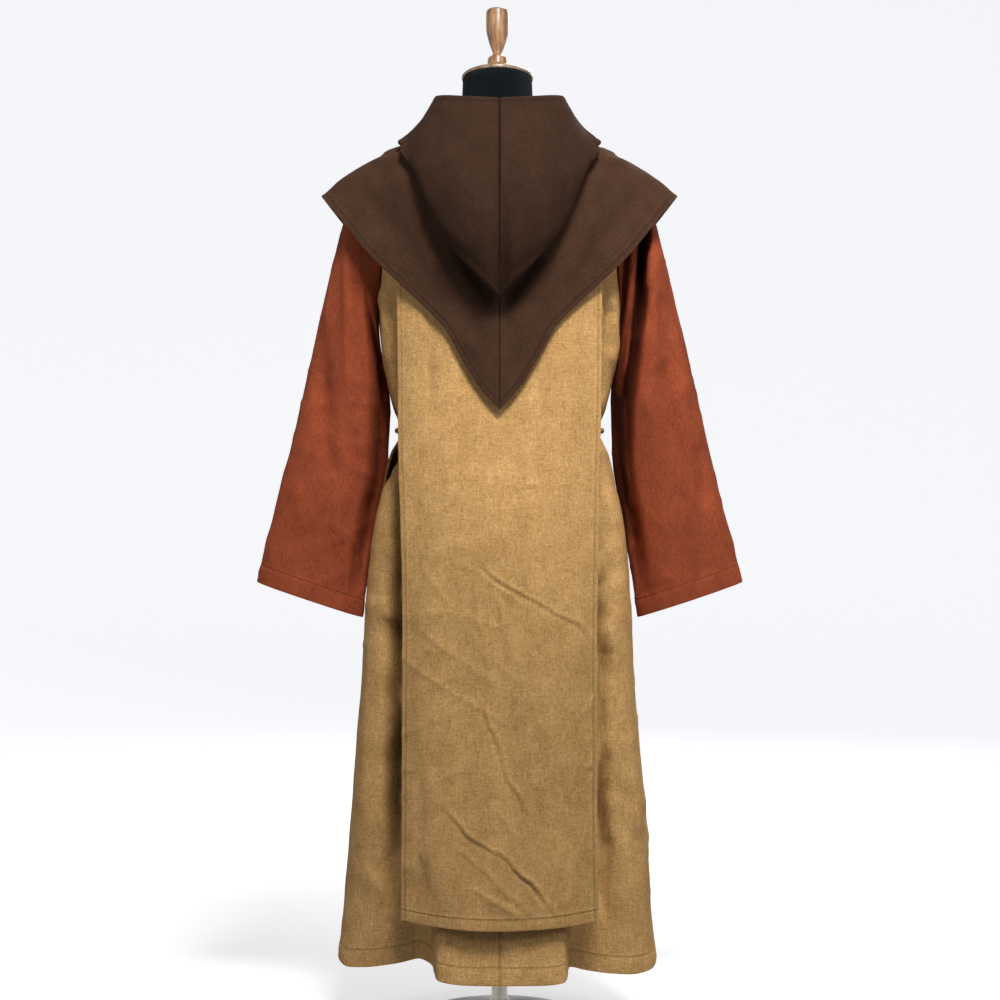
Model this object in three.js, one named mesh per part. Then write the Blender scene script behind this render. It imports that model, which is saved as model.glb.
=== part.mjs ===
// A hooded monk habit worn by a limbless dress form on a round stand.
// Millimetres, +Z up. The floor is z = 0, the back of the habit faces -Y, and
// the wearer's left is -X. Every layer round the trunk is a radius about one
// upright axis, given by the angle from the centre back and the height, so the
// layers stay in order from the form outwards.
import * as THREE from "three";

// ---- Driving dimensions -------------------------------------------------
const CLOTH = 2; // wall of the fulled wool
const SEAM = 0.3; // gap left between two pieces at a seam
const LAYER_GAP = 1.4; // air between one layer and the next
const LAYER_ROUND = 5; // rounding where the scapular meets the tunic's swell
const HEM_HEIGHT = 104; // skirt hem above the floor
const BELT_HEIGHT = 974;
const BELT_RADIUS = 4.5;
const BELT_EASE = 0.9; // clear of the cloth that rises above and below the cord
const SHOULDER_HEIGHT = 1404; // top of the armhole
const UNDERARM_HEIGHT = 1165;
const ARMHOLE_WIDTH = 17; // degrees from the side line to the armhole's edge
const ARMHOLE_STEPS = 8;
const SLEEVE_FULLNESS = 2.2; // exponent of a sleeve's section
const TRUNK_FULLNESS = 2.3; // exponent of a trunk section
const FOLD_TOP = 960; // the skirt's folds start here and deepen to the hem
const FOLD_GROWTH = 0.65;
const HEM_LIFT_FADE = 250;
const NECK_LEAN_FROM = 1380; // the neck leans forward above this height
const NECK_LEAN = 0.11;
const POLE_RADIUS = 13;
const POLE_COLLAR = { radius: 24, straight: 8, height: 26, step: 4 };
const BASE_RADIUS = 128;
const BASE_THICKNESS = 16;
const BASE_BEVEL = { out: 6, down: 4 };
const FORM_BOTTOM = 735;
const FORM_EASE = 1; // the shoulders of the form lie this far inside the tunic
const NECK_TOP = 1556;
const NECK_OFFSET = -3.5; // the neck stands a little to the wearer's left
const CAP_TILT = 10; // degrees, the cap falls towards the front
const STEP = Math.PI / 180;

// Trunk of the tunic, outside the cloth.
const TUNIC_TRUNK = [
  { z: 104, side: 258, back: 183, front: 178 },
  { z: 200, side: 248, back: 178, front: 172 },
  { z: 400, side: 234, back: 168, front: 161 },
  { z: 600, side: 218, back: 157, front: 149 },
  { z: 790, side: 204, back: 146, front: 138 },
  { z: 880, side: 192, back: 139, front: 133 },
  { z: 935, side: 180, back: 132, front: 128 },
  { z: 974, side: 163, back: 123, front: 122 },
  { z: 1010, side: 175, back: 130, front: 131 },
  { z: 1060, side: 187, back: 134, front: 140 },
  { z: 1120, side: 195, back: 136, front: 144 },
  { z: 1165, side: 199, back: 137, front: 144 },
  { z: 1250, side: 203, back: 136, front: 138 },
  { z: 1320, side: 206, back: 131, front: 125 },
  { z: 1365, side: 208, back: 123, front: 110 },
  { z: 1404, side: 203, back: 109, front: 93 },
  { z: 1420, side: 178, back: 101, front: 85 },
  { z: 1438, side: 138, back: 90, front: 76 },
  { z: 1456, side: 100, back: 78, front: 68 },
  { z: 1472, side: 76, back: 68, front: 62 },
];

// The dress form below the shoulders; above them it backs the tunic.
const FORM_TRUNK = [
  { z: 735, side: 150, back: 104, front: 98 },
  { z: 760, side: 164, back: 118, front: 108 },
  { z: 820, side: 168, back: 124, front: 111 },
  { z: 900, side: 158, back: 115, front: 106 },
  { z: 974, side: 143, back: 101, front: 103 },
  { z: 1050, side: 150, back: 106, front: 112 },
  { z: 1150, side: 163, back: 115, front: 122 },
  { z: 1250, side: 173, back: 119, front: 122 },
  { z: 1320, side: 182, back: 117, front: 111 },
  { z: 1375, side: 194, back: 109, front: 96 },
  { z: 1404, side: 196, back: 103, front: 87 },
];
const FORM_NECK = [
  { z: 1472, radius: 64 },
  { z: 1500, radius: 60 },
  { z: 1530, radius: 58 },
  { z: 1556, radius: 57 },
];

// Hanging folds of the skirt: how far out and how high the hem is at each angle.
const SKIRT_FOLDS = [
  { at: -180, reach: 182, hem: 104 },
  { at: -170, reach: 187, hem: 104 },
  { at: -160, reach: 205, hem: 100 },
  { at: -149, reach: 197, hem: 108 },
  { at: -137, reach: 178, hem: 118 },
  { at: -125, reach: 208, hem: 106 },
  { at: -112, reach: 247, hem: 98 },
  { at: -101, reach: 261, hem: 100 },
  { at: -90, reach: 267, hem: 108 },
  { at: -80, reach: 256, hem: 101 },
  { at: -71, reach: 229, hem: 105 },
  { at: -62, reach: 187, hem: 114 },
  { at: -52, reach: 162, hem: 124 },
  { at: -42, reach: 164, hem: 120 },
  { at: -34, reach: 186, hem: 112 },
  { at: -27, reach: 209, hem: 106 },
  { at: -18, reach: 204, hem: 102 },
  { at: -9, reach: 198, hem: 101 },
  { at: 0, reach: 196, hem: 101 },
  { at: 10, reach: 199, hem: 101 },
  { at: 20, reach: 206, hem: 101 },
  { at: 28.5, reach: 213, hem: 104 },
  { at: 36, reach: 187, hem: 118 },
  { at: 44, reach: 166, hem: 115 },
  { at: 53, reach: 166, hem: 107 },
  { at: 61, reach: 204, hem: 100 },
  { at: 68, reach: 237, hem: 97 },
  { at: 78, reach: 256, hem: 100 },
  { at: 90, reach: 259, hem: 108 },
  { at: 101, reach: 254, hem: 102 },
  { at: 112, reach: 232, hem: 99 },
  { at: 124, reach: 196, hem: 108 },
  { at: 135, reach: 180, hem: 118 },
  { at: 147, reach: 197, hem: 106 },
  { at: 158, reach: 204, hem: 100 },
  { at: 169, reach: 190, hem: 104 },
  { at: 180, reach: 182, hem: 104 },
];

// Scapular: a long panel before and behind, hung from the shoulders.
const SCAPULAR = [
  { z: 190, half: 156, side: 232, back: 212, front: 206 },
  { z: 400, half: 154, side: 226, back: 198, front: 191 },
  { z: 600, half: 155, side: 220, back: 184, front: 177 },
  { z: 800, half: 157, side: 214, back: 169, front: 163 },
  { z: 974, half: 162, side: 212, back: 150, front: 152 },
  { z: 1100, half: 164, side: 214, back: 143, front: 150 },
  { z: 1250, half: 165, side: 216, back: 139, front: 143 },
  { z: 1320, half: 165, side: 216, back: 134, front: 130 },
  { z: 1365, half: 163, side: 214, back: 125, front: 112 },
  { z: 1404, half: 160, side: 207, back: 110, front: 94 },
  { z: 1454, half: 160, side: 104, back: 79, front: 69 },
];
const SCAPULAR_TOP = 1456;
const SHOULDER_EASE = 5; // the panels ride higher over the turn of the shoulder
const SHOULDER_EASE_AT = 1430;
const SHOULDER_EASE_SPAN = 35;
const SCAPULAR_HEM_RISE = 13; // the hem's corners hang above its middle
const SCAPULAR_HEM_TURN = 50; // degrees from the middle to the corner
const SCAPULAR_RISE_FADE = 200;

// Shoulder cape: ridge along the shoulder line, and how far the rest stands.
const CAPE = [
  { z: 1002, ridge: 760, back: 160, front: 162 },
  { z: 1130, ridge: 610, back: 156, front: 161 },
  { z: 1204, ridge: 520, back: 152, front: 157 },
  { z: 1258, ridge: 455, back: 148, front: 151 },
  { z: 1314, ridge: 375, back: 141, front: 138 },
  { z: 1361, ridge: 294, back: 134, front: 121 },
  { z: 1388, ridge: 263, back: 127, front: 114 },
  { z: 1403, ridge: 240, back: 121, front: 107 },
  { z: 1421, ridge: 209, back: 112, front: 98 },
  { z: 1441, ridge: 161, back: 100, front: 88 },
  { z: 1462, ridge: 113, back: 87, front: 79 },
  { z: 1478, ridge: 78, back: 73, front: 67 },
];
const CAPE_NECK = 1472;
const CAPE_GAP = 3.6;
const CAPE_RIDGE_ROUND = 16;
const CAPE_BODY_EASE = 12;
const CAPE_BODY_SHARE = 0.9; // the oval stays this far inside the ridge
const CAPE_ROUND = 4; // rounding where the cape meets the scapular's swell
const CAPE_BLEND = 16; // degrees over which the oval turns into the straight run
const CAPE_HEM_BACK = [
  { out: 0, z: 1002 },
  { out: 31, z: 1037 },
  { out: 59, z: 1081 },
  { out: 86, z: 1130 },
  { out: 127, z: 1174 },
  { out: 159, z: 1204 },
  { out: 206, z: 1251 },
  { out: 252, z: 1308 },
  { out: 294, z: 1361 },
];
const CAPE_HEM_FRONT = [
  { out: 0, z: 1082 },
  { out: 60, z: 1131 },
  { out: 127, z: 1190 },
  { out: 206, z: 1262 },
  { out: 252, z: 1310 },
  { out: 294, z: 1361 },
];
const CAPE_COLUMNS = [0, 11, 22, 32, 42, 52, 61, 69, 77, 84, 90, 96, 103, 110, 118, 128, 140, 153, 167, 180];
const CAPE_ROWS = [0, 0.05, 0.12, 0.22, 0.35, 0.51, 0.68, 0.84, 1];

// Hood, dropped behind: the fold at its foot and the edge of the face opening.
const HOOD = [
  { at: 0, fold: 1173, gut: 12, belly: 250, bellyZ: 1360, edge: 104, edgeZ: 1508 },
  { at: 11, fold: 1212, gut: 12, belly: 246, bellyZ: 1366, edge: 106, edgeZ: 1509 },
  { at: 19, fold: 1239, gut: 12, belly: 240, bellyZ: 1374, edge: 109, edgeZ: 1510 },
  { at: 33, fold: 1289, gut: 11, belly: 226, bellyZ: 1392, edge: 119, edgeZ: 1512 },
  { at: 42, fold: 1336, gut: 10, belly: 208, bellyZ: 1412, edge: 126, edgeZ: 1514 },
  { at: 51, fold: 1380, gut: 9, belly: 190, bellyZ: 1434, edge: 127, edgeZ: 1516 },
  { at: 60, fold: 1410, gut: 7, belly: 164, bellyZ: 1454, edge: 121, edgeZ: 1517 },
  { at: 68, fold: 1432, gut: 6, belly: 145, bellyZ: 1470, edge: 114, edgeZ: 1517 },
  { at: 80, fold: 1444, gut: 5, belly: 126, bellyZ: 1484, edge: 108, edgeZ: 1515 },
  { at: 90, fold: 1446, gut: 4, belly: 118, bellyZ: 1487, edge: 106, edgeZ: 1512 },
  { at: 104, fold: 1444, gut: 5, belly: 122, bellyZ: 1484, edge: 104, edgeZ: 1504 },
  { at: 120, fold: 1434, gut: 6, belly: 120, bellyZ: 1474, edge: 98, edgeZ: 1494 },
  { at: 140, fold: 1422, gut: 6, belly: 118, bellyZ: 1466, edge: 92, edgeZ: 1482 },
  { at: 160, fold: 1410, gut: 6, belly: 114, bellyZ: 1456, edge: 89, edgeZ: 1472 },
  { at: 180, fold: 1402, gut: 6, belly: 110, bellyZ: 1450, edge: 88, edgeZ: 1466 },
];
const HOOD_NECK = 1474;
const HOOD_SEAT = 0.9; // the neck seam rests just above the top of the cape
const HOOD_EASE = 4.6; // the inner side of the dropped hood hangs free of the cape
const HOOD_EASE_RUN = 20; // height over which it comes away
const HOOD_INNER_ROWS = [0, 0.14, 0.34, 0.6, 1];
const HOOD_FOLD_STEPS = 3;
const HOOD_OUTER_ROWS = [0.12, 0.28, 0.46, 0.64, 0.82, 1];

// Sleeves: the outer and the inner line, and half the depth between them.
const SLEEVE = [
  { along: 0, outX: 204, outZ: 1404, inX: 202, inZ: 1165, deep: 57 },
  { along: 0.06, outX: 234, outZ: 1380, inX: 201, inZ: 1140, deep: 56 },
  { along: 0.15, outX: 256, outZ: 1319, inX: 197.5, inZ: 1100, deep: 54 },
  { along: 0.33, outX: 288, outZ: 1190, inX: 184, inZ: 1020, deep: 50 },
  { along: 0.55, outX: 326, outZ: 1025, inX: 187, inZ: 930, deep: 46 },
  { along: 0.78, outX: 365, outZ: 860, inX: 207, inZ: 810, deep: 43 },
  { along: 1, outX: 399, outZ: 725, inX: 226, inZ: 667, deep: 41 },
];
const SLEEVE_RINGS = [0.03, 0.07, 0.12, 0.19, 0.28, 0.38, 0.5, 0.63, 0.76, 0.88, 1];
const SLEEVE_BLEND = 0.1; // share of the sleeve over which it leaves the armhole

const FINIAL = [
  { z: 0, radius: 24 },
  { z: 3, radius: 25 },
  { z: 8, radius: 22 },
  { z: 14, radius: 17 },
  { z: 21, radius: 16.4 },
  { z: 27, radius: 15.4 },
  { z: 32, radius: 9.7 },
  { z: 37, radius: 7.7 },
  { z: 48, radius: 11.5 },
  { z: 61, radius: 15.4 },
  { z: 74, radius: 18.3 },
  { z: 92, radius: 18.9 },
  { z: 109, radius: 18.6 },
  { z: 112, radius: 14 },
];
const CAP = [
  { z: 0, radius: 57.5 },
  { z: 1, radius: 59 },
  { z: 5, radius: 59 },
  { z: 8, radius: 55 },
  { z: 10, radius: 46 },
];

// ---- Small helpers --------------------------------------------------------
const mix = (a, b, t) => a + (b - a) * t;
const clamp = (x, low, high) => Math.min(high, Math.max(low, x));
const smooth = (x) => x * x * (3 - 2 * x);

// The larger of two lengths, with the corner between them rounded.
function smoothMax(a, b, rounding) {
  const share = clamp(0.5 + (0.5 * (a - b)) / rounding, 0, 1);
  return mix(b, a, share) + rounding * share * (1 - share);
}

// A monotone cubic through a table's rows, flat beyond its ends.
function curve(rows, from, to) {
  const x = rows.map((row) => row[from]);
  const y = rows.map((row) => row[to]);
  const slope = x.slice(1).map((_, i) => (y[i + 1] - y[i]) / (x[i + 1] - x[i]));
  const tangent = x.map((_, i) => {
    if (i === 0 || i === x.length - 1) return slope[Math.min(i, slope.length - 1)];
    const [a, b] = [slope[i - 1], slope[i]];
    return a * b <= 0 ? 0 : (2 * a * b) / (a + b);
  });
  return (at) => {
    const t = clamp(at, x[0], x[x.length - 1]);
    let i = 0;
    while (i < x.length - 2 && t > x[i + 1]) i += 1;
    const span = x[i + 1] - x[i];
    const s = (t - x[i]) / span;
    const rise = y[i + 1] - y[i];
    const a = tangent[i] * span - rise;
    const b = rise - tangent[i + 1] * span;
    return mix(y[i], y[i + 1], s) + s * (1 - s) * (a * (1 - s) + b * s);
  };
}

function columnsOf(rows, from, names) {
  return Object.fromEntries(names.map((name) => [name, curve(rows, from, name)]));
}

const tunicTrunk = columnsOf(TUNIC_TRUNK, "z", ["side", "back", "front"]);
const formTrunk = columnsOf(FORM_TRUNK, "z", ["side", "back", "front"]);
const scapular = columnsOf(SCAPULAR, "z", ["half", "side", "back", "front"]);
const cape = columnsOf(CAPE, "z", ["ridge", "back", "front"]);
const hood = columnsOf(HOOD, "at", ["fold", "gut", "belly", "bellyZ", "edge", "edgeZ"]);
const sleeve = columnsOf(SLEEVE, "along", ["outX", "outZ", "inX", "inZ", "deep"]);
const foldReach = curve(SKIRT_FOLDS, "at", "reach");
const foldHem = curve(SKIRT_FOLDS, "at", "hem");
const neckRadius = curve(FORM_NECK, "z", "radius");
const capeHemBack = curve(CAPE_HEM_BACK, "out", "z");
const capeHemFront = curve(CAPE_HEM_FRONT, "out", "z");

// ---- Layers: radius at an angle (degrees from the centre back) and height ---
const axisY = (z) => Math.max(0, z - NECK_LEAN_FROM) * NECK_LEAN;

// A rounded oval section with its own depth before and behind.
function oval(at, side, back, front) {
  const across = Math.abs(Math.sin(at * STEP)) / side;
  const along = Math.abs(Math.cos(at * STEP)) / (Math.cos(at * STEP) > 0 ? back : front);
  return (across ** TRUNK_FULLNESS + along ** TRUNK_FULLNESS) ** (-1 / TRUNK_FULLNESS);
}

function trunkOval(trunk, at, z) {
  return oval(at, trunk.side(z), trunk.back(z), trunk.front(z));
}

// How much longer a gap is along the radius than square to the layer.
function slant(layer, at, z) {
  const rise = layer(at, z + 1) - layer(at, z - 1);
  const turn = (layer(at + 1, z) - layer(at - 1, z)) / STEP / layer(at, z);
  return Math.hypot(1, rise / 2, turn / 2);
}

function tunicLayer(at, z) {
  const plain = trunkOval(tunicTrunk, at, z);
  if (z >= FOLD_TOP) return plain;
  const depth = (clamp(FOLD_TOP - z, 0, FOLD_TOP - HEM_HEIGHT) / (FOLD_TOP - HEM_HEIGHT)) ** FOLD_GROWTH;
  return plain * mix(1, foldReach(at) / trunkOval(tunicTrunk, at, HEM_HEIGHT), depth);
}

function scapularLayer(at, z) {
  const free = trunkOval(scapular, at, z);
  const ease = SHOULDER_EASE * clamp(1 - Math.abs(z - SHOULDER_EASE_AT) / SHOULDER_EASE_SPAN, 0, 1);
  const over = tunicLayer(at, z) + (CLOTH + LAYER_GAP + ease) * slant(tunicLayer, at, z);
  return smoothMax(free, over, LAYER_ROUND);
}

// The cape's section is an oval round the trunk with a straight run, touching
// it, out to the ridge on the shoulder, so that it stands out as stiff cloth.
function capeFree(at, z) {
  const [s, c] = [Math.abs(Math.sin(at * STEP)), Math.abs(Math.cos(at * STEP))];
  const deep = Math.cos(at * STEP) > 0 ? cape.back(z) : cape.front(z);
  const ridge = cape.ridge(z);
  const body = Math.min(tunicTrunk.side(z) + CAPE_BODY_EASE, CAPE_BODY_SHARE * ridge);
  const narrowing = Math.sqrt(1 - (body / ridge) ** 2);
  const reach = deep / narrowing;
  const foot = ridge / (1 - CAPE_RIDGE_ROUND / reach);
  const square = c * c - ((reach * s) / foot) ** 2;
  const linear = (2 * reach * reach * s) / foot;
  const rest = reach * reach - CAPE_RIDGE_ROUND ** 2;
  const run = (2 * rest) / (linear + Math.sqrt(linear * linear + 4 * square * rest));
  const touch = Math.atan2((body * body) / ridge, deep * narrowing) / STEP;
  const past = Math.atan2(s, c) / STEP - touch;
  return mix(1 / Math.hypot(s / body, c / deep), run, smooth(clamp(past / CAPE_BLEND + 0.5, 0, 1)));
}

function capeLayer(at, z) {
  const over = scapularLayer(at, z) + (CLOTH + CAPE_GAP) * slant(scapularLayer, at, z);
  return smoothMax(capeFree(at, z), over, CAPE_ROUND);
}

function formLayer(at, z) {
  if (z > FORM_NECK[0].z) return neckRadius(z);
  const touching = tunicLayer(at, z) - (CLOTH + FORM_EASE) * slant(tunicLayer, at, z);
  if (z > SHOULDER_HEIGHT) return touching;
  return Math.min(trunkOval(formTrunk, at, z), touching);
}

function onLayer(layer, at, z) {
  const radius = layer(at, z);
  return new THREE.Vector3(radius * Math.sin(at * STEP), axisY(z) - radius * Math.cos(at * STEP), z);
}

// ---- Walls ----------------------------------------------------------------
// Collects triangles between rows of points and gives one closed geometry.
class Shell {
  constructor() {
    this.points = [];
    this.faces = [];
  }

  add(grid) {
    return grid.map((row) => row.map((point) => this.points.push(point) - 1));
  }

  quad(a, b, c, d) {
    this.faces.push(a, b, c, a, c, d);
  }

  // Joins two rows; turned over, its faces look the other way and every
  // quad is still cut along the same diagonal.
  web(lower, upper, closed, over = false) {
    const last = closed ? lower.length : lower.length - 1;
    for (let i = 0; i < last; i += 1) {
      const j = (i + 1) % lower.length;
      if (over) this.quad(lower[i], upper[i], upper[j], lower[j]);
      else this.quad(lower[i], lower[j], upper[j], upper[i]);
    }
  }

  fan(ring, tip) {
    ring.forEach((start, i) => this.faces.push(start, ring[(i + 1) % ring.length], tip));
  }

  geometry() {
    let volume = 0;
    for (let i = 0; i < this.faces.length; i += 3) {
      const [a, b, c] = [0, 1, 2].map((k) => this.points[this.faces[i + k]]);
      volume += a.dot(b.clone().cross(c));
    }
    if (volume < 0) this.faces.reverse();
    const made = new THREE.BufferGeometry();
    made.setFromPoints(this.points);
    made.setIndex(this.faces);
    made.computeVertexNormals();
    return made;
  }
}

// A cloth wall: the outer face is the grid, and the inner face lies one
// thickness inside it. Rows run along the grid's first index.
function clothWall(outer, normals, closed = false) {
  const inner = outer.map((row, i) =>
    row.map((point, j) => point.clone().addScaledVector(normals[i][j], -CLOTH)));
  const shell = new Shell();
  const face = shell.add(outer);
  const lining = shell.add(inner);
  for (let i = 0; i + 1 < face.length; i += 1) {
    shell.web(face[i], face[i + 1], closed);
    shell.web(lining[i], lining[i + 1], closed, true);
  }
  const last = face.length - 1;
  shell.web(lining[0], face[0], closed);
  shell.web(face[last], lining[last], closed);
  if (!closed) {
    const edge = (grid, j) => grid.map((row) => row.at(j));
    shell.web(edge(face, 0), edge(lining, 0), false);
    shell.web(edge(lining, -1), edge(face, -1), false);
  }
  return shell.geometry();
}

// Unit normals of a surface given as a function of two parameters.
function normalOf(point, u, v, du, dv) {
  const across = point(u + du, v).sub(point(u - du, v));
  const along = point(u, v + dv).sub(point(u, v - dv));
  return across.cross(along).normalize();
}

function layerNormal(layer, at, z) {
  return normalOf((a, h) => onLayer(layer, a, h), at, z, 0.5, 1);
}

// A panel of a layer between two angles, which may change with height.
function layerPanel(layer, heights, angles, lift = () => 0) {
  const spots = heights.map((z) => angles(z).map((at) => [at, z + lift(at, z)]));
  return clothWall(
    spots.map((row) => row.map(([at, z]) => onLayer(layer, at, z))),
    spots.map((row) => row.map(([at, z]) => layerNormal(layer, at, z))),
  );
}

const materials = {
  wool: new THREE.MeshStandardMaterial({ color: 0xb8925f, roughness: 0.95, metalness: 0 }),
  rust: new THREE.MeshStandardMaterial({ color: 0x8f4429, roughness: 0.95, metalness: 0 }),
  brown: new THREE.MeshStandardMaterial({ color: 0x483126, roughness: 0.95, metalness: 0 }),
  cord: new THREE.MeshStandardMaterial({ color: 0x6f5738, roughness: 0.9, metalness: 0 }),
  jersey: new THREE.MeshStandardMaterial({ color: 0x12191d, roughness: 0.85, metalness: 0 }),
  wood: new THREE.MeshStandardMaterial({ color: 0x7a5532, roughness: 0.45, metalness: 0 }),
  steel: new THREE.MeshStandardMaterial({ color: 0x9a958a, roughness: 0.3, metalness: 1 }),
  base: new THREE.MeshStandardMaterial({ color: 0xcac9c2, roughness: 0.5, metalness: 0 }),
};

function node(name, geometry, material) {
  const mesh = new THREE.Mesh(geometry, materials[material]);
  mesh.name = name;
  return mesh;
}

// ---- Tunic ------------------------------------------------------------------
// Half the armhole's width in degrees, by its place from underarm to shoulder.
const armholeTurns = Array.from({ length: ARMHOLE_STEPS + 1 }, (_, i) => (Math.PI * i) / ARMHOLE_STEPS);
const armholeHeight = (turn) => mix(UNDERARM_HEIGHT, SHOULDER_HEIGHT, (1 - Math.cos(turn)) / 2);

function armholeWidth(z) {
  const share = (2 * z - UNDERARM_HEIGHT - SHOULDER_HEIGHT) / (SHOULDER_HEIGHT - UNDERARM_HEIGHT);
  return Math.abs(share) >= 1 ? 0 : ARMHOLE_WIDTH * Math.sqrt(1 - share * share);
}

const tunicHeights = [
  104, 134, 210, 310, 420, 530, 640, 740, 820, 880, 925, 955, 974, 993, 1020, 1060, 1110,
  ...armholeTurns.map(armholeHeight),
  1420, 1429, 1438, 1456, 1472,
];

const unwrap = (at) => (at > 180 ? at - 360 : at);
const allRound = (layer) => (at, z) => layer(unwrap(at), z);

function hemLift(at, z) {
  return (foldHem(at) - HEM_HEIGHT) * clamp(1 - (z - HEM_HEIGHT) / HEM_LIFT_FADE, 0, 1);
}

// Angles of a tunic panel from one seam to another, gathered in at armholes.
function tunicAngles(from, to) {
  const marks = SKIRT_FOLDS.slice(1)
    .map(({ at }) => (at < from ? at + 360 : at))
    .filter((at) => at >= from && at <= to)
    .sort((a, b) => a - b);
  const inset = (at, z) => SEAM / 2 / tunicLayer(unwrap(at), z) / STEP + (at === 0 ? 0 : armholeWidth(z));
  return (z) => marks.map((at) =>
    mix(from + inset(from, z), to - inset(to, z), (at - from) / (to - from)));
}

function tunicPanel(name, from, to) {
  const made = layerPanel(allRound(tunicLayer), tunicHeights, tunicAngles(from, to), allRound(hemLift));
  return node(name, made, "wool");
}

// ---- Sleeves ----------------------------------------------------------------
// side is -1 for the wearer's left sleeve and 1 for the right.
function sleeveWall(side) {
  const back = armholeTurns.map((turn) => ({ turn: Math.PI - turn, facing: 1 })).reverse();
  const front = armholeTurns.slice(1, -1).map((turn) => ({ turn: Math.PI - turn, facing: -1 }));
  const spots = [...back, ...front];
  // The armhole's edge, a seam's gap beyond the tunic's own.
  const armhole = ({ turn, facing }) => {
    const z = armholeHeight(Math.PI - turn);
    const at = side * (90 - facing * armholeWidth(z));
    const inward = new THREE.Vector3(0, facing * Math.sin(turn), -Math.cos(turn));
    return onLayer(tunicLayer, at, z).addScaledVector(inward, 3 * SEAM);
  };
  const hanging = ({ turn, facing }, along) => {
    const power = 2 / SLEEVE_FULLNESS;
    const across = Math.sign(Math.cos(turn)) * Math.abs(Math.cos(turn)) ** power;
    const depth = facing * Math.abs(Math.sin(turn)) ** power;
    const share = (1 + across) / 2;
    return new THREE.Vector3(
      side * mix(sleeve.inX(along), sleeve.outX(along), share),
      -depth * sleeve.deep(along),
      mix(sleeve.inZ(along), sleeve.outZ(along), share),
    );
  };
  const ring = (along) => spots.map((spot) =>
    armhole(spot).lerp(hanging(spot, along), smooth(clamp(along / SLEEVE_BLEND, 0, 1))));
  const rings = [0, ...SLEEVE_RINGS].map(ring);
  const count = spots.length;
  const normals = rings.map((row, i) => row.map((point, j) => {
    const next = rings[Math.min(i + 1, rings.length - 1)][j];
    const last = rings[Math.max(i - 1, 0)][j];
    const around = row[(j + 1) % count].clone().sub(row[(j + count - 1) % count]);
    const normal = around.cross(next.clone().sub(last)).normalize();
    return normal.multiplyScalar(side);
  }));
  return clothWall(rings, normals, true);
}

// ---- Scapular -----------------------------------------------------------------
const SCAPULAR_COLUMNS = SKIRT_FOLDS.filter(({ at }) => Math.abs(at) <= 90).map(({ at }) => at / 90);
const scapularHeights = [190, 240, 340, 450, 560, 670, 780, 880, 974, 1060, 1140, 1220, 1290, 1345, 1372,
  1388, 1404, 1420, 1429, 1438, SCAPULAR_TOP];

// How far the panel turns from its middle line (0 behind, 180 before) to its
// free edge, or to the shoulder seam where the shoulder is narrower than it.
function scapularTurn(middle, sign, z) {
  const layer = allRound(scapularLayer);
  const out = (turn) => layer(middle + sign * turn, z) * Math.sin(turn * STEP);
  let [low, high] = [0, 90];
  if (out(high) <= scapular.half(z)) return high - SEAM / 2 / layer(middle + sign * high, z) / STEP;
  for (let i = 0; i < 30; i += 1) {
    const turn = (low + high) / 2;
    if (out(turn) < scapular.half(z)) low = turn;
    else high = turn;
  }
  return low;
}

function scapularPanel(middle) {
  const angles = (z) => SCAPULAR_COLUMNS.map((share) =>
    middle + share * scapularTurn(middle, Math.sign(share), z));
  const hem = scapularHeights[0];
  const rise = (at, z) => SCAPULAR_HEM_RISE * ((at - middle) / SCAPULAR_HEM_TURN) ** 2
    * clamp(1 - (z - hem) / SCAPULAR_RISE_FADE, 0, 1);
  return layerPanel(allRound(scapularLayer), scapularHeights, angles, rise);
}

// ---- Cape ---------------------------------------------------------------------
function capeHem(at) {
  const hem = Math.cos(at * STEP) >= 0 ? capeHemBack : capeHemFront;
  let [low, high] = [hem(0), hem(Infinity)];
  for (let i = 0; i < 40; i += 1) {
    const z = (low + high) / 2;
    const out = Math.abs(capeLayer(at, z) * Math.sin(at * STEP));
    if (z < hem(out)) low = z;
    else high = z;
  }
  return (low + high) / 2;
}

function capeHalf(side) {
  const outer = [];
  const normals = [];
  for (const share of CAPE_ROWS) {
    const spots = CAPE_COLUMNS.map((at) => {
      const z = mix(CAPE_NECK, capeHem(at), share);
      const seam = SEAM / 2 / capeLayer(at, z) / STEP;
      return [side * clamp(at, seam, 180 - seam), z];
    });
    outer.push(spots.map(([at, z]) => onLayer(capeLayer, at, z)));
    normals.push(spots.map(([at, z]) => layerNormal(capeLayer, at, z)));
  }
  return clothWall(outer, normals);
}

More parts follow.
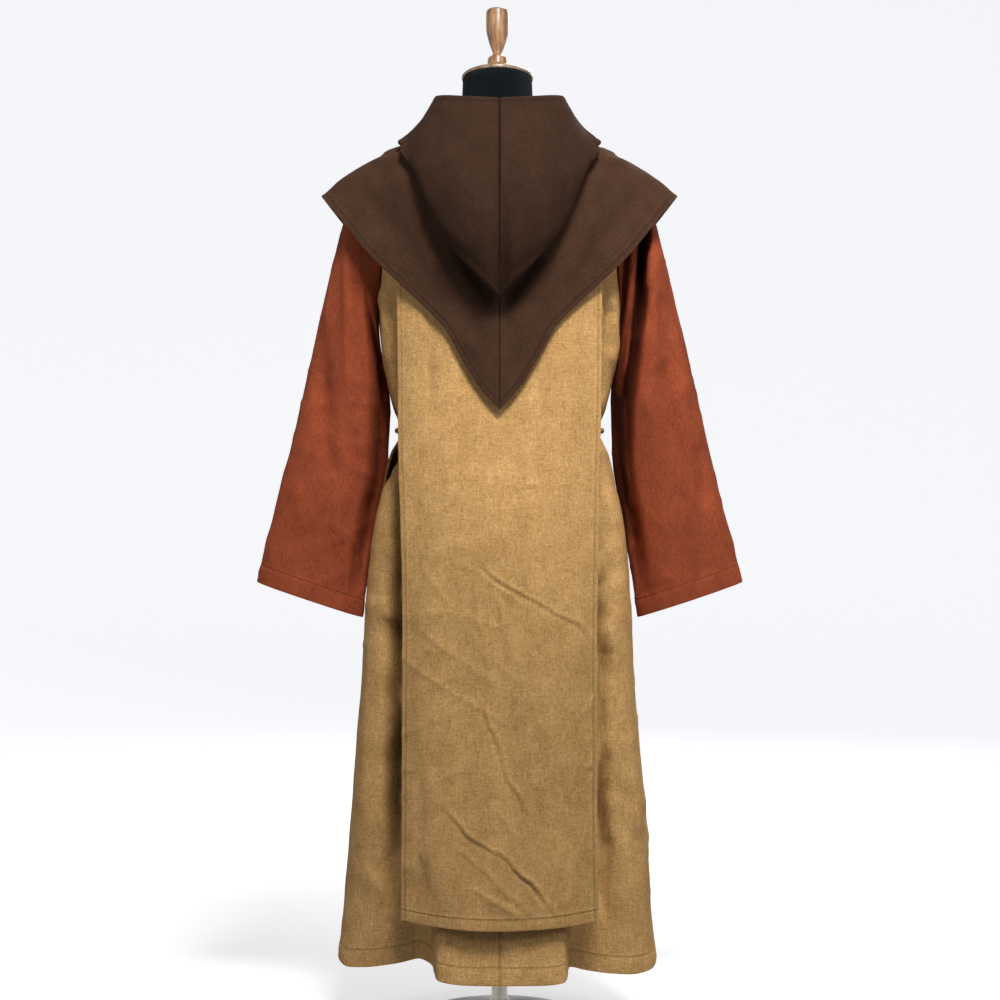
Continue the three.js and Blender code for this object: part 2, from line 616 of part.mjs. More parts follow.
// ---- Hood -----------------------------------------------------------------------
// The hood's section at one angle, as radius and height: down over the cape,
// round the fold, and up to the edge of the face opening. The section follows
// the face of the cloth that shows.
function hoodSection(at) {
  const turn = Math.abs(at);
  const gut = hood.gut(turn);
  const floor = hood.fold(turn) + gut;
  const lie = (z) => {
    const ease = HOOD_EASE * clamp((HOOD_NECK - z) / HOOD_EASE_RUN, 0, 1);
    return capeLayer(at, z) + (HOOD_SEAT + ease) * slant(capeLayer, at, z);
  };
  const section = HOOD_INNER_ROWS.map((share) => {
    const z = mix(HOOD_NECK, floor, share);
    return [lie(z), z];
  });
  // The fold turns about a point square to the cape's own slope.
  const down = new THREE.Vector2(lie(floor - 1) - lie(floor), -1).normalize();
  const off = new THREE.Vector2(-down.y, down.x);
  const start = new THREE.Vector2(lie(floor), floor);
  for (let i = 1; i <= HOOD_FOLD_STEPS; i += 1) {
    const angle = (Math.PI * i) / (HOOD_FOLD_STEPS + 1);
    const spot = start.clone().addScaledVector(off, gut * (1 - Math.cos(angle)));
    section.push(spot.addScaledVector(down, gut * Math.sin(angle)).toArray());
  }
  const from = start.addScaledVector(off, 2 * gut);
  const belly = new THREE.Vector2(hood.belly(turn), hood.bellyZ(turn));
  const edge = new THREE.Vector2(hood.edge(turn), hood.edgeZ(turn));
  const rise = new THREE.QuadraticBezierCurve(from, belly, edge);
  [0, ...HOOD_OUTER_ROWS].forEach((share) => section.push(rise.getPoint(share).toArray()));
  return section;
}

function hoodHalf(side) {
  const columns = CAPE_COLUMNS.map((at) => {
    const seam = SEAM / 2 / hood.edge(at) / STEP;
    return side * clamp(at, seam, 180 - seam);
  });
  const place = (at, [radius, z]) =>
    new THREE.Vector3(radius * Math.sin(at * STEP), axisY(z) - radius * Math.cos(at * STEP), z);
  const sections = columns.map((at) => hoodSection(at).map((spot) => place(at, spot)));
  const outer = sections[0].map((_, i) => sections.map((section) => section[i]));
  const normals = outer.map((row, i) => row.map((_, j) => {
    const up = outer[Math.min(i + 1, outer.length - 1)][j].clone().sub(outer[Math.max(i - 1, 0)][j]);
    const left = row[Math.max(j - 1, 0)];
    const right = row[Math.min(j + 1, row.length - 1)];
    const across = right.clone().sub(left);
    if (j === 0 || j === row.length - 1) across.setY(0).setZ(0).setX(side);
    if (j === row.length - 1) across.setX(-side);
    return up.cross(across).normalize().multiplyScalar(-side);
  }));
  return clothWall(outer, normals);
}

// ---- Belt ---------------------------------------------------------------------
const BELT_SIDES = 8;

function beltGeometry() {
  const shell = new Shell();
  const rings = SKIRT_FOLDS.slice(1).map(({ at }) => {
    const centre = tunicLayer(at, BELT_HEIGHT) + BELT_EASE + BELT_RADIUS;
    return Array.from({ length: BELT_SIDES }, (_, k) => {
      const turn = (2 * Math.PI * k) / BELT_SIDES;
      const radius = centre + BELT_RADIUS * Math.cos(turn);
      const z = BELT_HEIGHT + BELT_RADIUS * Math.sin(turn);
      return new THREE.Vector3(radius * Math.sin(at * STEP), axisY(z) - radius * Math.cos(at * STEP), z);
    });
  });
  const made = shell.add(rings);
  made.forEach((ring, i) => shell.web(ring, made[(i + 1) % made.length], true));
  return shell.geometry();
}

// ---- Dress form -----------------------------------------------------------------
const formHeights = [735, 742, 760, 820, 900, 974, 1050, 1150, 1250, 1320, 1375, 1404, 1420, 1429, 1438, 1456, 1472];
const NECK_RINGS = [1488, 1515];

function formGeometry() {
  const columns = SKIRT_FOLDS.slice(1).map(({ at }) => at);
  const shell = new Shell();
  const tilt = Math.tan(CAP_TILT * STEP);
  const ring = (z, shift) => columns.map((at) => onLayer(formLayer, at, z).add(new THREE.Vector3(shift, 0, 0)));
  const rings = [
    ...formHeights.map((z) => ring(z, 0)),
    ...NECK_RINGS.map((z) => ring(z, NECK_OFFSET)),
  ];
  // The neck is cut square to the cap, which falls towards the front.
  rings.push(ring(NECK_TOP, NECK_OFFSET).map((rim) =>
    rim.setZ(NECK_TOP - (rim.y - axisY(NECK_TOP)) * tilt)));
  const made = shell.add(rings);
  for (let i = 0; i + 1 < made.length; i += 1) shell.web(made[i], made[i + 1], true);
  const foot = shell.points.push(new THREE.Vector3(0, 0, FORM_BOTTOM)) - 1;
  const crown = shell.points.push(new THREE.Vector3(NECK_OFFSET, axisY(NECK_TOP), NECK_TOP)) - 1;
  shell.fan([...made[0]].reverse(), foot);
  shell.fan(made.at(-1), crown);
  return shell.geometry();
}

// A turned piece: a closed profile spun about its own axis.
function turned(rows, segments) {
  const profile = [new THREE.Vector2(0, rows[0].z)];
  rows.forEach((row) => profile.push(new THREE.Vector2(row.radius, row.z)));
  profile.push(new THREE.Vector2(0, rows.at(-1).z));
  return new THREE.LatheGeometry(profile, segments).rotateX(Math.PI / 2);
}

function formTop() {
  const top = new THREE.Group();
  top.position.set(NECK_OFFSET, axisY(NECK_TOP), NECK_TOP);
  top.rotation.x = -CAP_TILT * STEP;
  const cap = node("neck_cap", turned(CAP, 28), "wood");
  cap.position.z = SEAM;
  const finial = node("finial", turned(FINIAL, 18), "wood");
  finial.position.z = SEAM + CAP.at(-1).z + SEAM;
  top.add(cap, finial);
  return top;
}

function stand() {
  const base = node("stand_base", turned([
    { z: 0, radius: BASE_RADIUS },
    { z: BASE_THICKNESS - BASE_BEVEL.down, radius: BASE_RADIUS },
    { z: BASE_THICKNESS, radius: BASE_RADIUS - BASE_BEVEL.out },
  ], 40), "base");
  const pole = node("stand_pole", turned([
    { z: BASE_THICKNESS + SEAM, radius: POLE_COLLAR.radius },
    { z: BASE_THICKNESS + POLE_COLLAR.straight, radius: POLE_COLLAR.radius },
    { z: BASE_THICKNESS + POLE_COLLAR.height, radius: POLE_RADIUS + 1 },
    { z: BASE_THICKNESS + POLE_COLLAR.height + POLE_COLLAR.step, radius: POLE_RADIUS },
    { z: FORM_BOTTOM - SEAM, radius: POLE_RADIUS },
  ], 18), "steel");
  return [base, pole];
}

// ---- The whole habit ------------------------------------------------------------
const habit = new THREE.Group();
habit.add(
  ...stand(),
  node("dress_form", formGeometry(), "jersey"),
  formTop(),
  tunicPanel("tunic_back_left", -90, 0),
  tunicPanel("tunic_back_right", 0, 90),
  tunicPanel("tunic_front", 90, 270),
  node("sleeve_left", sleeveWall(-1), "rust"),
  node("sleeve_right", sleeveWall(1), "rust"),
  node("belt", beltGeometry(), "cord"),
  node("scapular_back", scapularPanel(0), "wool"),
  node("scapular_front", scapularPanel(180), "wool"),
  node("cape_left", capeHalf(-1), "brown"),
  node("cape_right", capeHalf(1), "brown"),
  node("hood_left", hoodHalf(-1), "brown"),
  node("hood_right", hoodHalf(1), "brown"),
);

export default habit;
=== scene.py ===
import math

import bpy
import numpy as np
from mathutils import Matrix, Vector


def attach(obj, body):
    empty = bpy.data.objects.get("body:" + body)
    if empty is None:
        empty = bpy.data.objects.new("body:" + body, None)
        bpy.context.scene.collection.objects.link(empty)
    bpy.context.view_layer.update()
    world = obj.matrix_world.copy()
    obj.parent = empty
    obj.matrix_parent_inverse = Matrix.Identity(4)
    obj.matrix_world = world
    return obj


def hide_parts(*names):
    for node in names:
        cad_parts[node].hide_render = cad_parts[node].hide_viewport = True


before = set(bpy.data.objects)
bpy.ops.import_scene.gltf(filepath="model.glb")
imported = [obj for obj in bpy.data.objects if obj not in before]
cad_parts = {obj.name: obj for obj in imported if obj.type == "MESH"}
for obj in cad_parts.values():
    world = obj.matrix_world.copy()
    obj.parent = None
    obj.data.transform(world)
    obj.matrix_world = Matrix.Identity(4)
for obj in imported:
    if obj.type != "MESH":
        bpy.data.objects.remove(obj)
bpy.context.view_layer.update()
bpy.ops.object.select_all(action="DESELECT")

# The camera looks level at the back of the habit from 3.6 m away, on a view
# 1.65 m wide at the form's axis.
camera_data = bpy.data.cameras.new("camera")
camera_data.sensor_width = 36
CAMERA_AWAY, VIEW_WIDTH = 3.6, 1.65
camera_data.lens = camera_data.sensor_width * CAMERA_AWAY / VIEW_WIDTH
camera = bpy.data.objects.new("camera", camera_data)
camera.location = (0.0008, -CAMERA_AWAY, 0.86)
camera.rotation_euler = (math.radians(90), 0, 0)
bpy.context.scene.collection.objects.link(camera)
bpy.context.scene.camera = camera

# ---- Sizes, in millimetres and degrees --------------------------------------
CLOTH = 2.0
SEAM = 0.3
LAYER_GAP = 1.4
CLEARANCE = 0.7
HEM_HEIGHT = 104
BELT_HEIGHT = 974
BELT_EASE = 0.9
BELT_RADIUS = 4.5
STRAND_OFFSET, STRAND_RADIUS, STRAND_SIDES, STRAND_TURN = 2.25, 2.2, 8, 21
SHOULDER_HEIGHT = 1404
UNDERARM_HEIGHT = 1165
ARMHOLE_WIDTH = 17
TRUNK_FULLNESS = 2.3
SLEEVE_FULLNESS = 2.2
NECK_LEAN_FROM, NECK_LEAN = 1380, 0.11
NECK_OFFSET, NECK_TOP, CAP_TILT = -3.5, 1556, 10
FORM_BOTTOM = 735

# height, side, back, front
TUNIC_TRUNK = [
    (104, 258, 183, 178), (200, 248, 178, 172), (400, 234, 168, 161), (600, 218, 157, 149),
    (790, 204, 146, 138), (880, 192, 139, 133), (935, 180, 132, 128), (974, 163, 123, 122),
    (1010, 175, 130, 131), (1060, 187, 134, 140), (1120, 195, 136, 144), (1165, 199, 137, 144),
    (1250, 203, 136, 138), (1320, 206, 131, 125), (1365, 208, 123, 110), (1404, 203, 109, 93),
    (1420, 178, 101, 85), (1438, 138, 90, 76), (1456, 100, 78, 68), (1472, 76, 68, 62),
]
FORM_TRUNK = [
    (735, 150, 104, 98), (760, 164, 118, 108), (820, 168, 124, 111), (900, 158, 115, 106),
    (974, 143, 101, 103), (1050, 150, 106, 112), (1150, 163, 115, 122), (1250, 173, 119, 122),
    (1320, 182, 117, 111), (1375, 194, 109, 96), (1404, 196, 103, 87),
]
FORM_NECK = [(1472, 64), (1500, 60), (1530, 58), (1556, 57)]
FORM_EASE = 1
# angle from the centre back, reach of the hem, height of the hem
SKIRT_FOLDS = [
    (-180, 182, 104), (-170, 187, 104), (-160, 205, 100), (-149, 197, 108), (-137, 178, 118),
    (-125, 208, 106), (-112, 247, 98), (-101, 261, 100), (-90, 267, 108), (-80, 256, 101),
    (-71, 229, 105), (-62, 187, 114), (-52, 162, 124), (-42, 164, 120), (-34, 186, 112),
    (-27, 209, 106), (-18, 204, 102), (-9, 198, 101), (0, 196, 101), (10, 199, 101),
    (20, 206, 101), (28.5, 213, 104), (36, 187, 118), (44, 166, 115), (53, 166, 107),
    (61, 204, 100), (68, 237, 97), (78, 256, 100), (90, 259, 108), (101, 254, 102),
    (112, 232, 99), (124, 196, 108), (135, 180, 118), (147, 197, 106), (158, 204, 100),
    (169, 190, 104), (180, 182, 104),
]
FOLD_TOP, FOLD_GROWTH, HEM_LIFT_FADE = 960, 0.65, 250
# height, half width, side, back, front
SCAPULAR = [
    (190, 156, 232, 212, 206), (400, 154, 226, 198, 191), (600, 155, 220, 184, 177),
    (800, 157, 214, 169, 163), (974, 162, 212, 150, 152), (1100, 164, 214, 143, 150),
    (1250, 165, 216, 139, 143), (1320, 165, 216, 134, 130), (1365, 163, 214, 125, 112),
    (1404, 160, 207, 110, 94), (1454, 160, 104, 79, 69),
]
SCAPULAR_TOP, SCAPULAR_HEM_RISE = 1456, 13
SHOULDER_EASE, SHOULDER_EASE_AT, SHOULDER_EASE_SPAN = 5, 1430, 35
# height, ridge on the shoulder, back, front
CAPE = [
    (1002, 760, 160, 162), (1130, 610, 156, 161), (1204, 520, 152, 157), (1258, 455, 148, 151),
    (1314, 375, 141, 138), (1361, 294, 134, 121), (1388, 263, 127, 114), (1403, 240, 121, 107),
    (1421, 209, 112, 98), (1441, 161, 100, 88), (1462, 113, 87, 79), (1478, 78, 73, 67),
]
CAPE_NECK, CAPE_GAP, CAPE_RIDGE_ROUND, CAPE_BODY_EASE, CAPE_BLEND = 1472, 3.6, 16, 12, 16
# painted shadow on the cape, where it lies under the hood's tip
HOOD_SHADE = [[(side * x, z) for x, z in ((76, 1262), (46, 1212), (22, 1180), (2, 1152))]
              for side in (-1, 1)]
HOOD_SHADE_DEPTH, HOOD_SHADE_WIDTH = -0.75, 11
CAPE_HEM_BACK = [
    (0, 1002), (31, 1037), (59, 1081), (86, 1130), (127, 1174), (159, 1204), (206, 1251),
    (252, 1308), (294, 1361),
]
CAPE_HEM_FRONT = [(0, 1082), (60, 1131), (127, 1190), (206, 1262), (252, 1310), (294, 1361)]
# angle, foot of the fold, its half width, belly and its height, edge and its height
HOOD = [
    (0, 1173, 12, 250, 1360, 104, 1508), (11, 1212, 12, 246, 1366, 106, 1509),
    (19, 1239, 12, 240, 1374, 109, 1510), (33, 1296, 11, 226, 1392, 119, 1512),
    (42, 1350, 10, 206, 1412, 126, 1514), (51, 1391, 8, 186, 1432, 127, 1516),
    (60, 1418, 5.5, 160, 1452, 121, 1517), (68, 1438, 4.5, 138, 1470, 114, 1517),
    (80, 1450, 4, 122, 1484, 108, 1515), (90, 1450, 4, 118, 1487, 106, 1512),
    (104, 1447, 5, 122, 1484, 104, 1504), (120, 1434, 6, 120, 1474, 98, 1494),
    (140, 1422, 6, 118, 1466, 92, 1482), (160, 1410, 6, 114, 1456, 89, 1472),
    (180, 1402, 6, 110, 1450, 88, 1466),
]
HOOD_NECK, HOOD_SEAT, HOOD_EASE, HOOD_STAND = 1474, 0.9, 4.6, 18
INNER_ROWS, ARC_ROWS = 26, 11
# place along the sleeve, outer line, inner line, half depth
SLEEVE = [
    (0, 204, 1404, 202, 1165, 57), (0.06, 234, 1380, 199.4, 1140, 56),
    (0.15, 256, 1319, 194.8, 1100, 54), (0.33, 288, 1190, 183.4, 1020, 50),
    (0.55, 326, 1025, 187, 930, 46), (0.78, 365, 860, 207, 810, 43), (1, 399, 725, 226, 667, 41),
]
SLEEVE_BLEND = 0.1
# how far the sleeve's inner edge hangs turned in, and the width of that strip
TURN_IN = {-1: (30, 9, 31), 1: (22, 9, 30)}
# height and place of the deep fold down the back of the right sleeve
SLEEVE_FOLD = [
    (690, 224), (800, 216), (912, 215), (1000, 217), (1046, 223), (1090, 229), (1136, 234), (1181, 239),
    (1304, 245), (1450, 250),
]
SLEEVE_FOLD_DEPTH = 60
# widths of the turned hems, and the stations across them from the edge inward
TUNIC_HEM, CUFF_HEM, SCAPULAR_HEM, SIDE_HEM, HOOD_HEM = 29.5, 30.5, 18.6, 9.8, 14.8
HEM_ROWS = [0, 1, 2.5, 8, 16, 24, 26.5, 28, 29.5, 31, 33, 38]
CUFF_ROWS = [0, 1, 2.5, 8, 17, 25, 27.5, 29, 30.5, 32, 34, 39]
SCAPULAR_ROWS = [0, 1, 2.5, 7, 13, 16, 17.4, 18.6, 19.8, 22, 25]
EDGE_ROWS = [0, 1, 2.2, 4.5, 7, 8.6, 9.8, 11, 12.2, 14, 18]
CAPE_ROWS = [0, 1, 2.2, 4.5, 7, 8.6, 9.8, 11, 12.2, 14.5, 19]
HOOD_ROWS = [0, 1, 2.5, 7, 12, 13.6, 14.8, 16, 17.2, 20, 26]
SEAM_ROWS = [0, 1, 2.2, 4, 6.5, 10]
SEAM_ANGLES = [0, 0.25, 0.55, 1, 1.7, 2.6]
# the grid row or column that carries each line of stitches
TUNIC_STITCH_ROW, CUFF_STITCH_ROW, BROWN_STITCH_ROW = 7, -8, -6
SCAPULAR_STITCH_ROW, SCAPULAR_STITCH_COLUMNS = 6, (5, -6)


# ---- Small helpers -----------------------------------------------------------
def mix(a, b, t):
    return a + (b - a) * t


def ramp(x, low, high):
    """0 below low, 1 above high, and a soft rise between them."""
    t = np.clip((x - low) / (high - low), 0, 1)
    return t * t * (3 - 2 * t)


def smooth_max(a, b, rounding):
    share = np.clip(0.5 + 0.5 * (a - b) / rounding, 0, 1)
    return mix(b, a, share) + rounding * share * (1 - share)


def curve(rows, column):
    """A monotone cubic through one column of a table, flat beyond its ends."""
    x = np.array([row[0] for row in rows], float)
    y = np.array([row[column] for row in rows], float)
    slope = np.diff(y) / np.diff(x)
    tangent = np.concatenate([slope[:1], np.zeros(len(x) - 2), slope[-1:]])
    turns = slope[:-1] * slope[1:] > 0
    total = np.where(turns, slope[:-1] + slope[1:], 1)
    tangent[1:-1] = np.where(turns, 2 * slope[:-1] * slope[1:] / total, 0)

    def read(at):
        at = np.clip(at, x[0], x[-1])
        i = np.clip(np.searchsorted(x, at, side="right") - 1, 0, len(x) - 2)
        span = x[i + 1] - x[i]
        s = (at - x[i]) / span
        rise = y[i + 1] - y[i]
        a = tangent[i] * span - rise
        b = rise - tangent[i + 1] * span
        return y[i] + rise * s + s * (1 - s) * (a * (1 - s) + b * s)

    return read


def bell(x, middle, width):
    """A smooth bump of height 1 round the middle."""
    return np.exp(-((x - middle) / width) ** 2)


def sin(at):
    return np.sin(np.radians(at))


def cos(at):
    return np.cos(np.radians(at))


def unwrap(at):
    return (np.asarray(at, float) + 180) % 360 - 180


tunic_side, tunic_back, tunic_front = (curve(TUNIC_TRUNK, i) for i in (1, 2, 3))
form_side, form_back, form_front = (curve(FORM_TRUNK, i) for i in (1, 2, 3))
scapular_half, scapular_side, scapular_back, scapular_front = (curve(SCAPULAR, i) for i in (1, 2, 3, 4))
cape_ridge, cape_back, cape_front = (curve(CAPE, i) for i in (1, 2, 3))
hood_fold, hood_gut, hood_belly, hood_belly_z, hood_edge, hood_edge_z = (curve(HOOD, i) for i in range(1, 7))
sleeve_out_x, sleeve_out_z, sleeve_in_x, sleeve_in_z, sleeve_deep = (curve(SLEEVE, i) for i in range(1, 6))
sleeve_fold = curve(SLEEVE_FOLD, 1)
fold_reach, fold_hem = curve(SKIRT_FOLDS, 1), curve(SKIRT_FOLDS, 2)
neck_radius = curve(FORM_NECK, 1)
cape_hem_back, cape_hem_front = curve(CAPE_HEM_BACK, 1), curve(CAPE_HEM_FRONT, 1)


# ---- Layers round the trunk: radius at an angle from the centre back and a height
def axis_y(z):
    return np.maximum(0, z - NECK_LEAN_FROM) * NECK_LEAN


def oval(at, side, back, front):
    across = np.abs(sin(at)) / side
    along = np.abs(cos(at)) / np.where(cos(at) > 0, back, front)
    return (across**TRUNK_FULLNESS + along**TRUNK_FULLNESS) ** (-1 / TRUNK_FULLNESS)


def slant(layer, at, z):
    rise = layer(at, z + 1) - layer(at, z - 1)
    turn = (layer(at + 1, z) - layer(at - 1, z)) / np.radians(1) / layer(at, z)
    return np.sqrt(1 + rise**2 / 4 + turn**2 / 4)


def tunic_layer(at, z):
    at = unwrap(at)
    plain = oval(at, tunic_side(z), tunic_back(z), tunic_front(z))
    depth = (np.clip(FOLD_TOP - z, 0, FOLD_TOP - HEM_HEIGHT) / (FOLD_TOP - HEM_HEIGHT)) ** FOLD_GROWTH
    full = oval(at, TUNIC_TRUNK[0][1], TUNIC_TRUNK[0][2], TUNIC_TRUNK[0][3])
    return plain * mix(1, fold_reach(at) / full, depth)


def scapular_layer(at, z):
    free = oval(at, scapular_side(z), scapular_back(z), scapular_front(z))
    ease = SHOULDER_EASE * np.clip(1 - np.abs(z - SHOULDER_EASE_AT) / SHOULDER_EASE_SPAN, 0, 1)
    over = tunic_layer(at, z) + (CLOTH + LAYER_GAP + ease) * slant(tunic_layer, at, z)
    return smooth_max(free, over, 5)


def cape_free(at, z):
    s, c = np.abs(sin(at)), np.abs(cos(at))
    deep = np.where(cos(at) > 0, cape_back(z), cape_front(z))
    ridge = cape_ridge(z)
    body = np.minimum(tunic_side(z) + CAPE_BODY_EASE, 0.9 * ridge)
    narrowing = np.sqrt(1 - (body / ridge) ** 2)
    reach = deep / narrowing
    foot = ridge / (1 - CAPE_RIDGE_ROUND / reach)
    square = c * c - (reach * s / foot) ** 2
    linear = 2 * reach * reach * s / foot
    rest = reach * reach - CAPE_RIDGE_ROUND**2
    run = 2 * rest / (linear + np.sqrt(linear * linear + 4 * square * rest))
    touch = np.degrees(np.arctan2(body * body / ridge, deep * narrowing))
    past = np.degrees(np.arctan2(s, c)) - touch
    return mix(1 / np.hypot(s / body, c / deep), run, ramp(past, -CAPE_BLEND / 2, CAPE_BLEND / 2))


def cape_layer(at, z):
    over = scapular_layer(at, z) + (CLOTH + CAPE_GAP) * slant(scapular_layer, at, z)
    return smooth_max(cape_free(at, z), over, 4)


def form_layer(at, z):
    touching = tunic_layer(at, z) - (CLOTH + FORM_EASE) * slant(tunic_layer, at, z)
    trunk = np.minimum(oval(at, form_side(z), form_back(z), form_front(z)), touching)
    radius = np.where(z > SHOULDER_HEIGHT, touching, trunk)
    return np.where(z > FORM_NECK[0][0], neck_radius(z), radius)


def polar(radius, at, z):
    return np.stack([radius * sin(at), axis_y(z) - radius * cos(at), z + 0 * radius], axis=-1)


def on_layer(layer, at, z):
    return polar(layer(at, z), at, z)


# ---- Surfaces ------------------------------------------------------------------
def lengths(points, axis):
    """Distance run along a grid's rows or columns from their start."""
    step = np.linalg.norm(np.diff(points, axis=axis), axis=-1)
    start = np.zeros_like(np.take(step, [0], axis=axis))
    return np.concatenate([start, np.cumsum(step, axis=axis)], axis=axis)


def lattice(size, seed):
    return np.random.default_rng(seed).uniform(-1, 1, (size, size))


def billow(a, b, wave, seed):
    """Soft uneven swell over a flat plan, between -1 and 1."""
    grid = lattice(64, seed)
    x, y = a / wave, b / wave
    i, j = np.floor(x).astype(int), np.floor(y).astype(int)
    s, t = ramp(x - i, 0, 1), ramp(y - j, 0, 1)
    g = lambda p, q: grid[(i + p) % 64, (j + q) % 64]
    return mix(mix(g(0, 0), g(1, 0), s), mix(g(0, 1), g(1, 1), s), t)


def crease(x, z, line, height, width, sharp=0.0):
    """A soft ridge (or trough, where height is negative) along a bent line.
    Where it is sharp, a narrow trough runs below it."""
    line = np.array(line, float)
    steps = np.diff(line, axis=0)
    run = np.concatenate([[0], np.cumsum(np.hypot(*steps.T))])
    best = np.full(x.shape, 1e9)
    side = np.zeros(x.shape)
    place = np.zeros(x.shape)
    for (ax, az), (dx, dz), start in zip(line, steps, run):
        span = math.hypot(dx, dz)
        t = np.clip(((x - ax) * dx + (z - az) * dz) / span**2, 0, 1)
        off = np.hypot(x - ax - t * dx, z - az - t * dz)
        nearer = off < best
        best = np.where(nearer, off, best)
        side = np.where(nearer, np.sign((x - ax) * dz - (z - az) * dx), side)
        place = np.where(nearer, start + t * span, place)
    place = place / run[-1]
    fade = ramp(place, 0, 0.22) * (1 - ramp(place, 0.72, 1))
    across = side * best / width
    turned = 0.6 * bell(across, -0.55, 0.75) - 0.42 * bell(across, 0.5, 0.55)
    return height * fade * mix(bell(across, 0, 1), turned, sharp)


def crumple(x, z, size, seed):
    """Thin crossing wrinkles, long one way, that come and go in patches."""
    total = np.zeros(np.broadcast(x, z).shape)
    for k, slope in enumerate((28, -34, 76, 5)):
        u = x * cos(slope) + z * sin(slope)
        v = z * cos(slope) - x * sin(slope)
        thin = (1 - np.abs(billow(u * 0.3, v, size, seed + k))) ** 7
        patch = ramp(billow(x, z, size * 3.2, seed + 10 + k), 0.05, 0.6)
        total = total + thin * patch
    return total


def creased(x, z, creases):
    """All the creases of one piece; their lines wander and swell unevenly."""
    across = x + 5 * billow(x, z, 34, 61) + 1.6 * billow(x, z, 12, 62)
    up = z + 5 * billow(x, z, 36, 63) + 1.6 * billow(x, z, 12, 64)
    total = sum((crease(across, up, *one) for one in creases), np.zeros(x.shape))
    return total * (1 + 0.35 * billow(x, z, 46, 65))


def hem_step(off, width, fold=0.5):
    """Relief of a turned and stitched hem at a distance from its edge."""
    raised = fold * (1 - ramp(off, width - 0.6, width + 2.2))
    rolled = 0.9 * np.clip(1 - off / 1.8, 0, 1) ** 2
    return raised - bell(off, width - 1.6, 1.1) - rolled


def hem_tone(off, width, groove_shade=0.24):
    """Painted shade in the stitched groove, a rubbed edge and a lighter line past the hem."""
    return 0.2 * bell(off, 0, 2.6) - groove_shade * bell(off, width - 1.5, 2) + 0.06 * bell(off, width + 2, 3)


def seam_tone(off):
    return -0.22 * bell(off, 0, 1.7) - 0.05 * bell(off, 0, 7)


def seam_dip(off):
    """The cloth turns down into a pressed seam."""
    return 0.35 * bell(off, 6, 3.5) - 1.5 * bell(off, 0, 2)


def normals_of(points, wrap):
    if wrap:
        across = np.roll(points, -1, axis=1) - np.roll(points, 1, axis=1)
    else:
        across = np.gradient(points, axis=1)
    along = np.gradient(points, axis=0)
    normal = np.cross(across, along)
    return normal / np.maximum(np.linalg.norm(normal, axis=-1, keepdims=True), 1e-9)


def make_mesh(name, points, faces, uv=None):
    """A smooth mesh object from points in millimetres."""
    mesh = bpy.data.meshes.new(name)
    mesh.from_pydata((points * 0.001).tolist(), [], faces)
    if uv is not None:
        layer = mesh.uv_layers.new(name="cloth")
        loops = np.empty(len(mesh.loops), int)
        mesh.loops.foreach_get("vertex_index", loops)
        layer.data.foreach_set("uv", (uv[loops] * 0.001).astype(np.float32).ravel())
    mesh.polygons.foreach_set("use_smooth", np.ones(len(mesh.polygons), bool))
    mesh.update()
    made = bpy.data.objects.new(name, mesh)
    bpy.context.scene.collection.objects.link(made)
    return made


def cloth_shell(name, points, relief, inside, wrap=False, thick=CLOTH, tone=None):
    """A thin closed shell of cloth on a grid of points, rows first. Its face
    looks away from inside, relief is added square to the cloth, and tone
    darkens or lightens the cloth in places."""
    if wrap:
        flat_u = lengths(np.concatenate([points, points[:, :1]], axis=1), 1)[:, :-1]
    else:
        flat_u = lengths(points, 1)
        flat_u = flat_u - flat_u[:, flat_u.shape[1] // 2][:, None]
    flat_v = lengths(points, 0)
    normal = normals_of(points, wrap)
    sign = 1.0 if np.sum(normal * (points - inside)) > 0 else -1.0
    outer = points + sign * normal * relief[..., None]
    face = normals_of(outer, wrap) * sign
    lining = outer - face * thick
    rows, columns = points.shape[:2]
    count = rows * columns
    index = np.arange(count).reshape(rows, columns)
    if wrap:
        index = np.concatenate([index, index[:, :1]], axis=1)

    def web(lower, upper, over):
        loop = [lower[:-1], lower[1:], upper[1:], upper[:-1]]
        if over != (sign < 0):
            loop.reverse()
        return np.stack(loop, axis=-1).reshape(-1, 4)

    back = index + count
    quads = [web(index[:-1].T, index[1:].T, True), web(back[:-1].T, back[1:].T, False),
             web(back[0], index[0], False), web(index[-1], back[-1], False)]
    if not wrap:
        quads += [web(index[:, 0], back[:, 0], False), web(back[:, -1], index[:, -1], False)]
    uv = np.stack([flat_u, flat_v], axis=-1).reshape(-1, 2)
    both = np.concatenate([outer.reshape(-1, 3), lining.reshape(-1, 3)])
    made = make_mesh(name, both, np.concatenate(quads).tolist(), np.concatenate([uv, uv]))
    made["cloth_area"] = float(area_of(points, wrap))
    shade = np.ones(count) if tone is None else 1 + tone.ravel()
    # Painted shade: the cloth is painted darker where its relief sinks deep, in folds and recesses.
    shade = np.maximum(0.1, shade - 0.65 * ramp(-relief.ravel(), 3, 34))
    layer = made.data.attributes.new("shade", "FLOAT", "POINT")
    layer.data.foreach_set("value", np.concatenate([shade, shade]).astype(np.float32))
    return made, outer, face


def area_of(points, wrap):
    grid = np.concatenate([points, points[:, :1]], axis=1) if wrap else points
    a, b, c, d = grid[:-1, :-1], grid[:-1, 1:], grid[1:, 1:], grid[1:, :-1]
    return (np.linalg.norm(np.cross(b - a, c - a), axis=-1).sum()
            + np.linalg.norm(np.cross(c - a, d - a), axis=-1).sum()) / 2e6


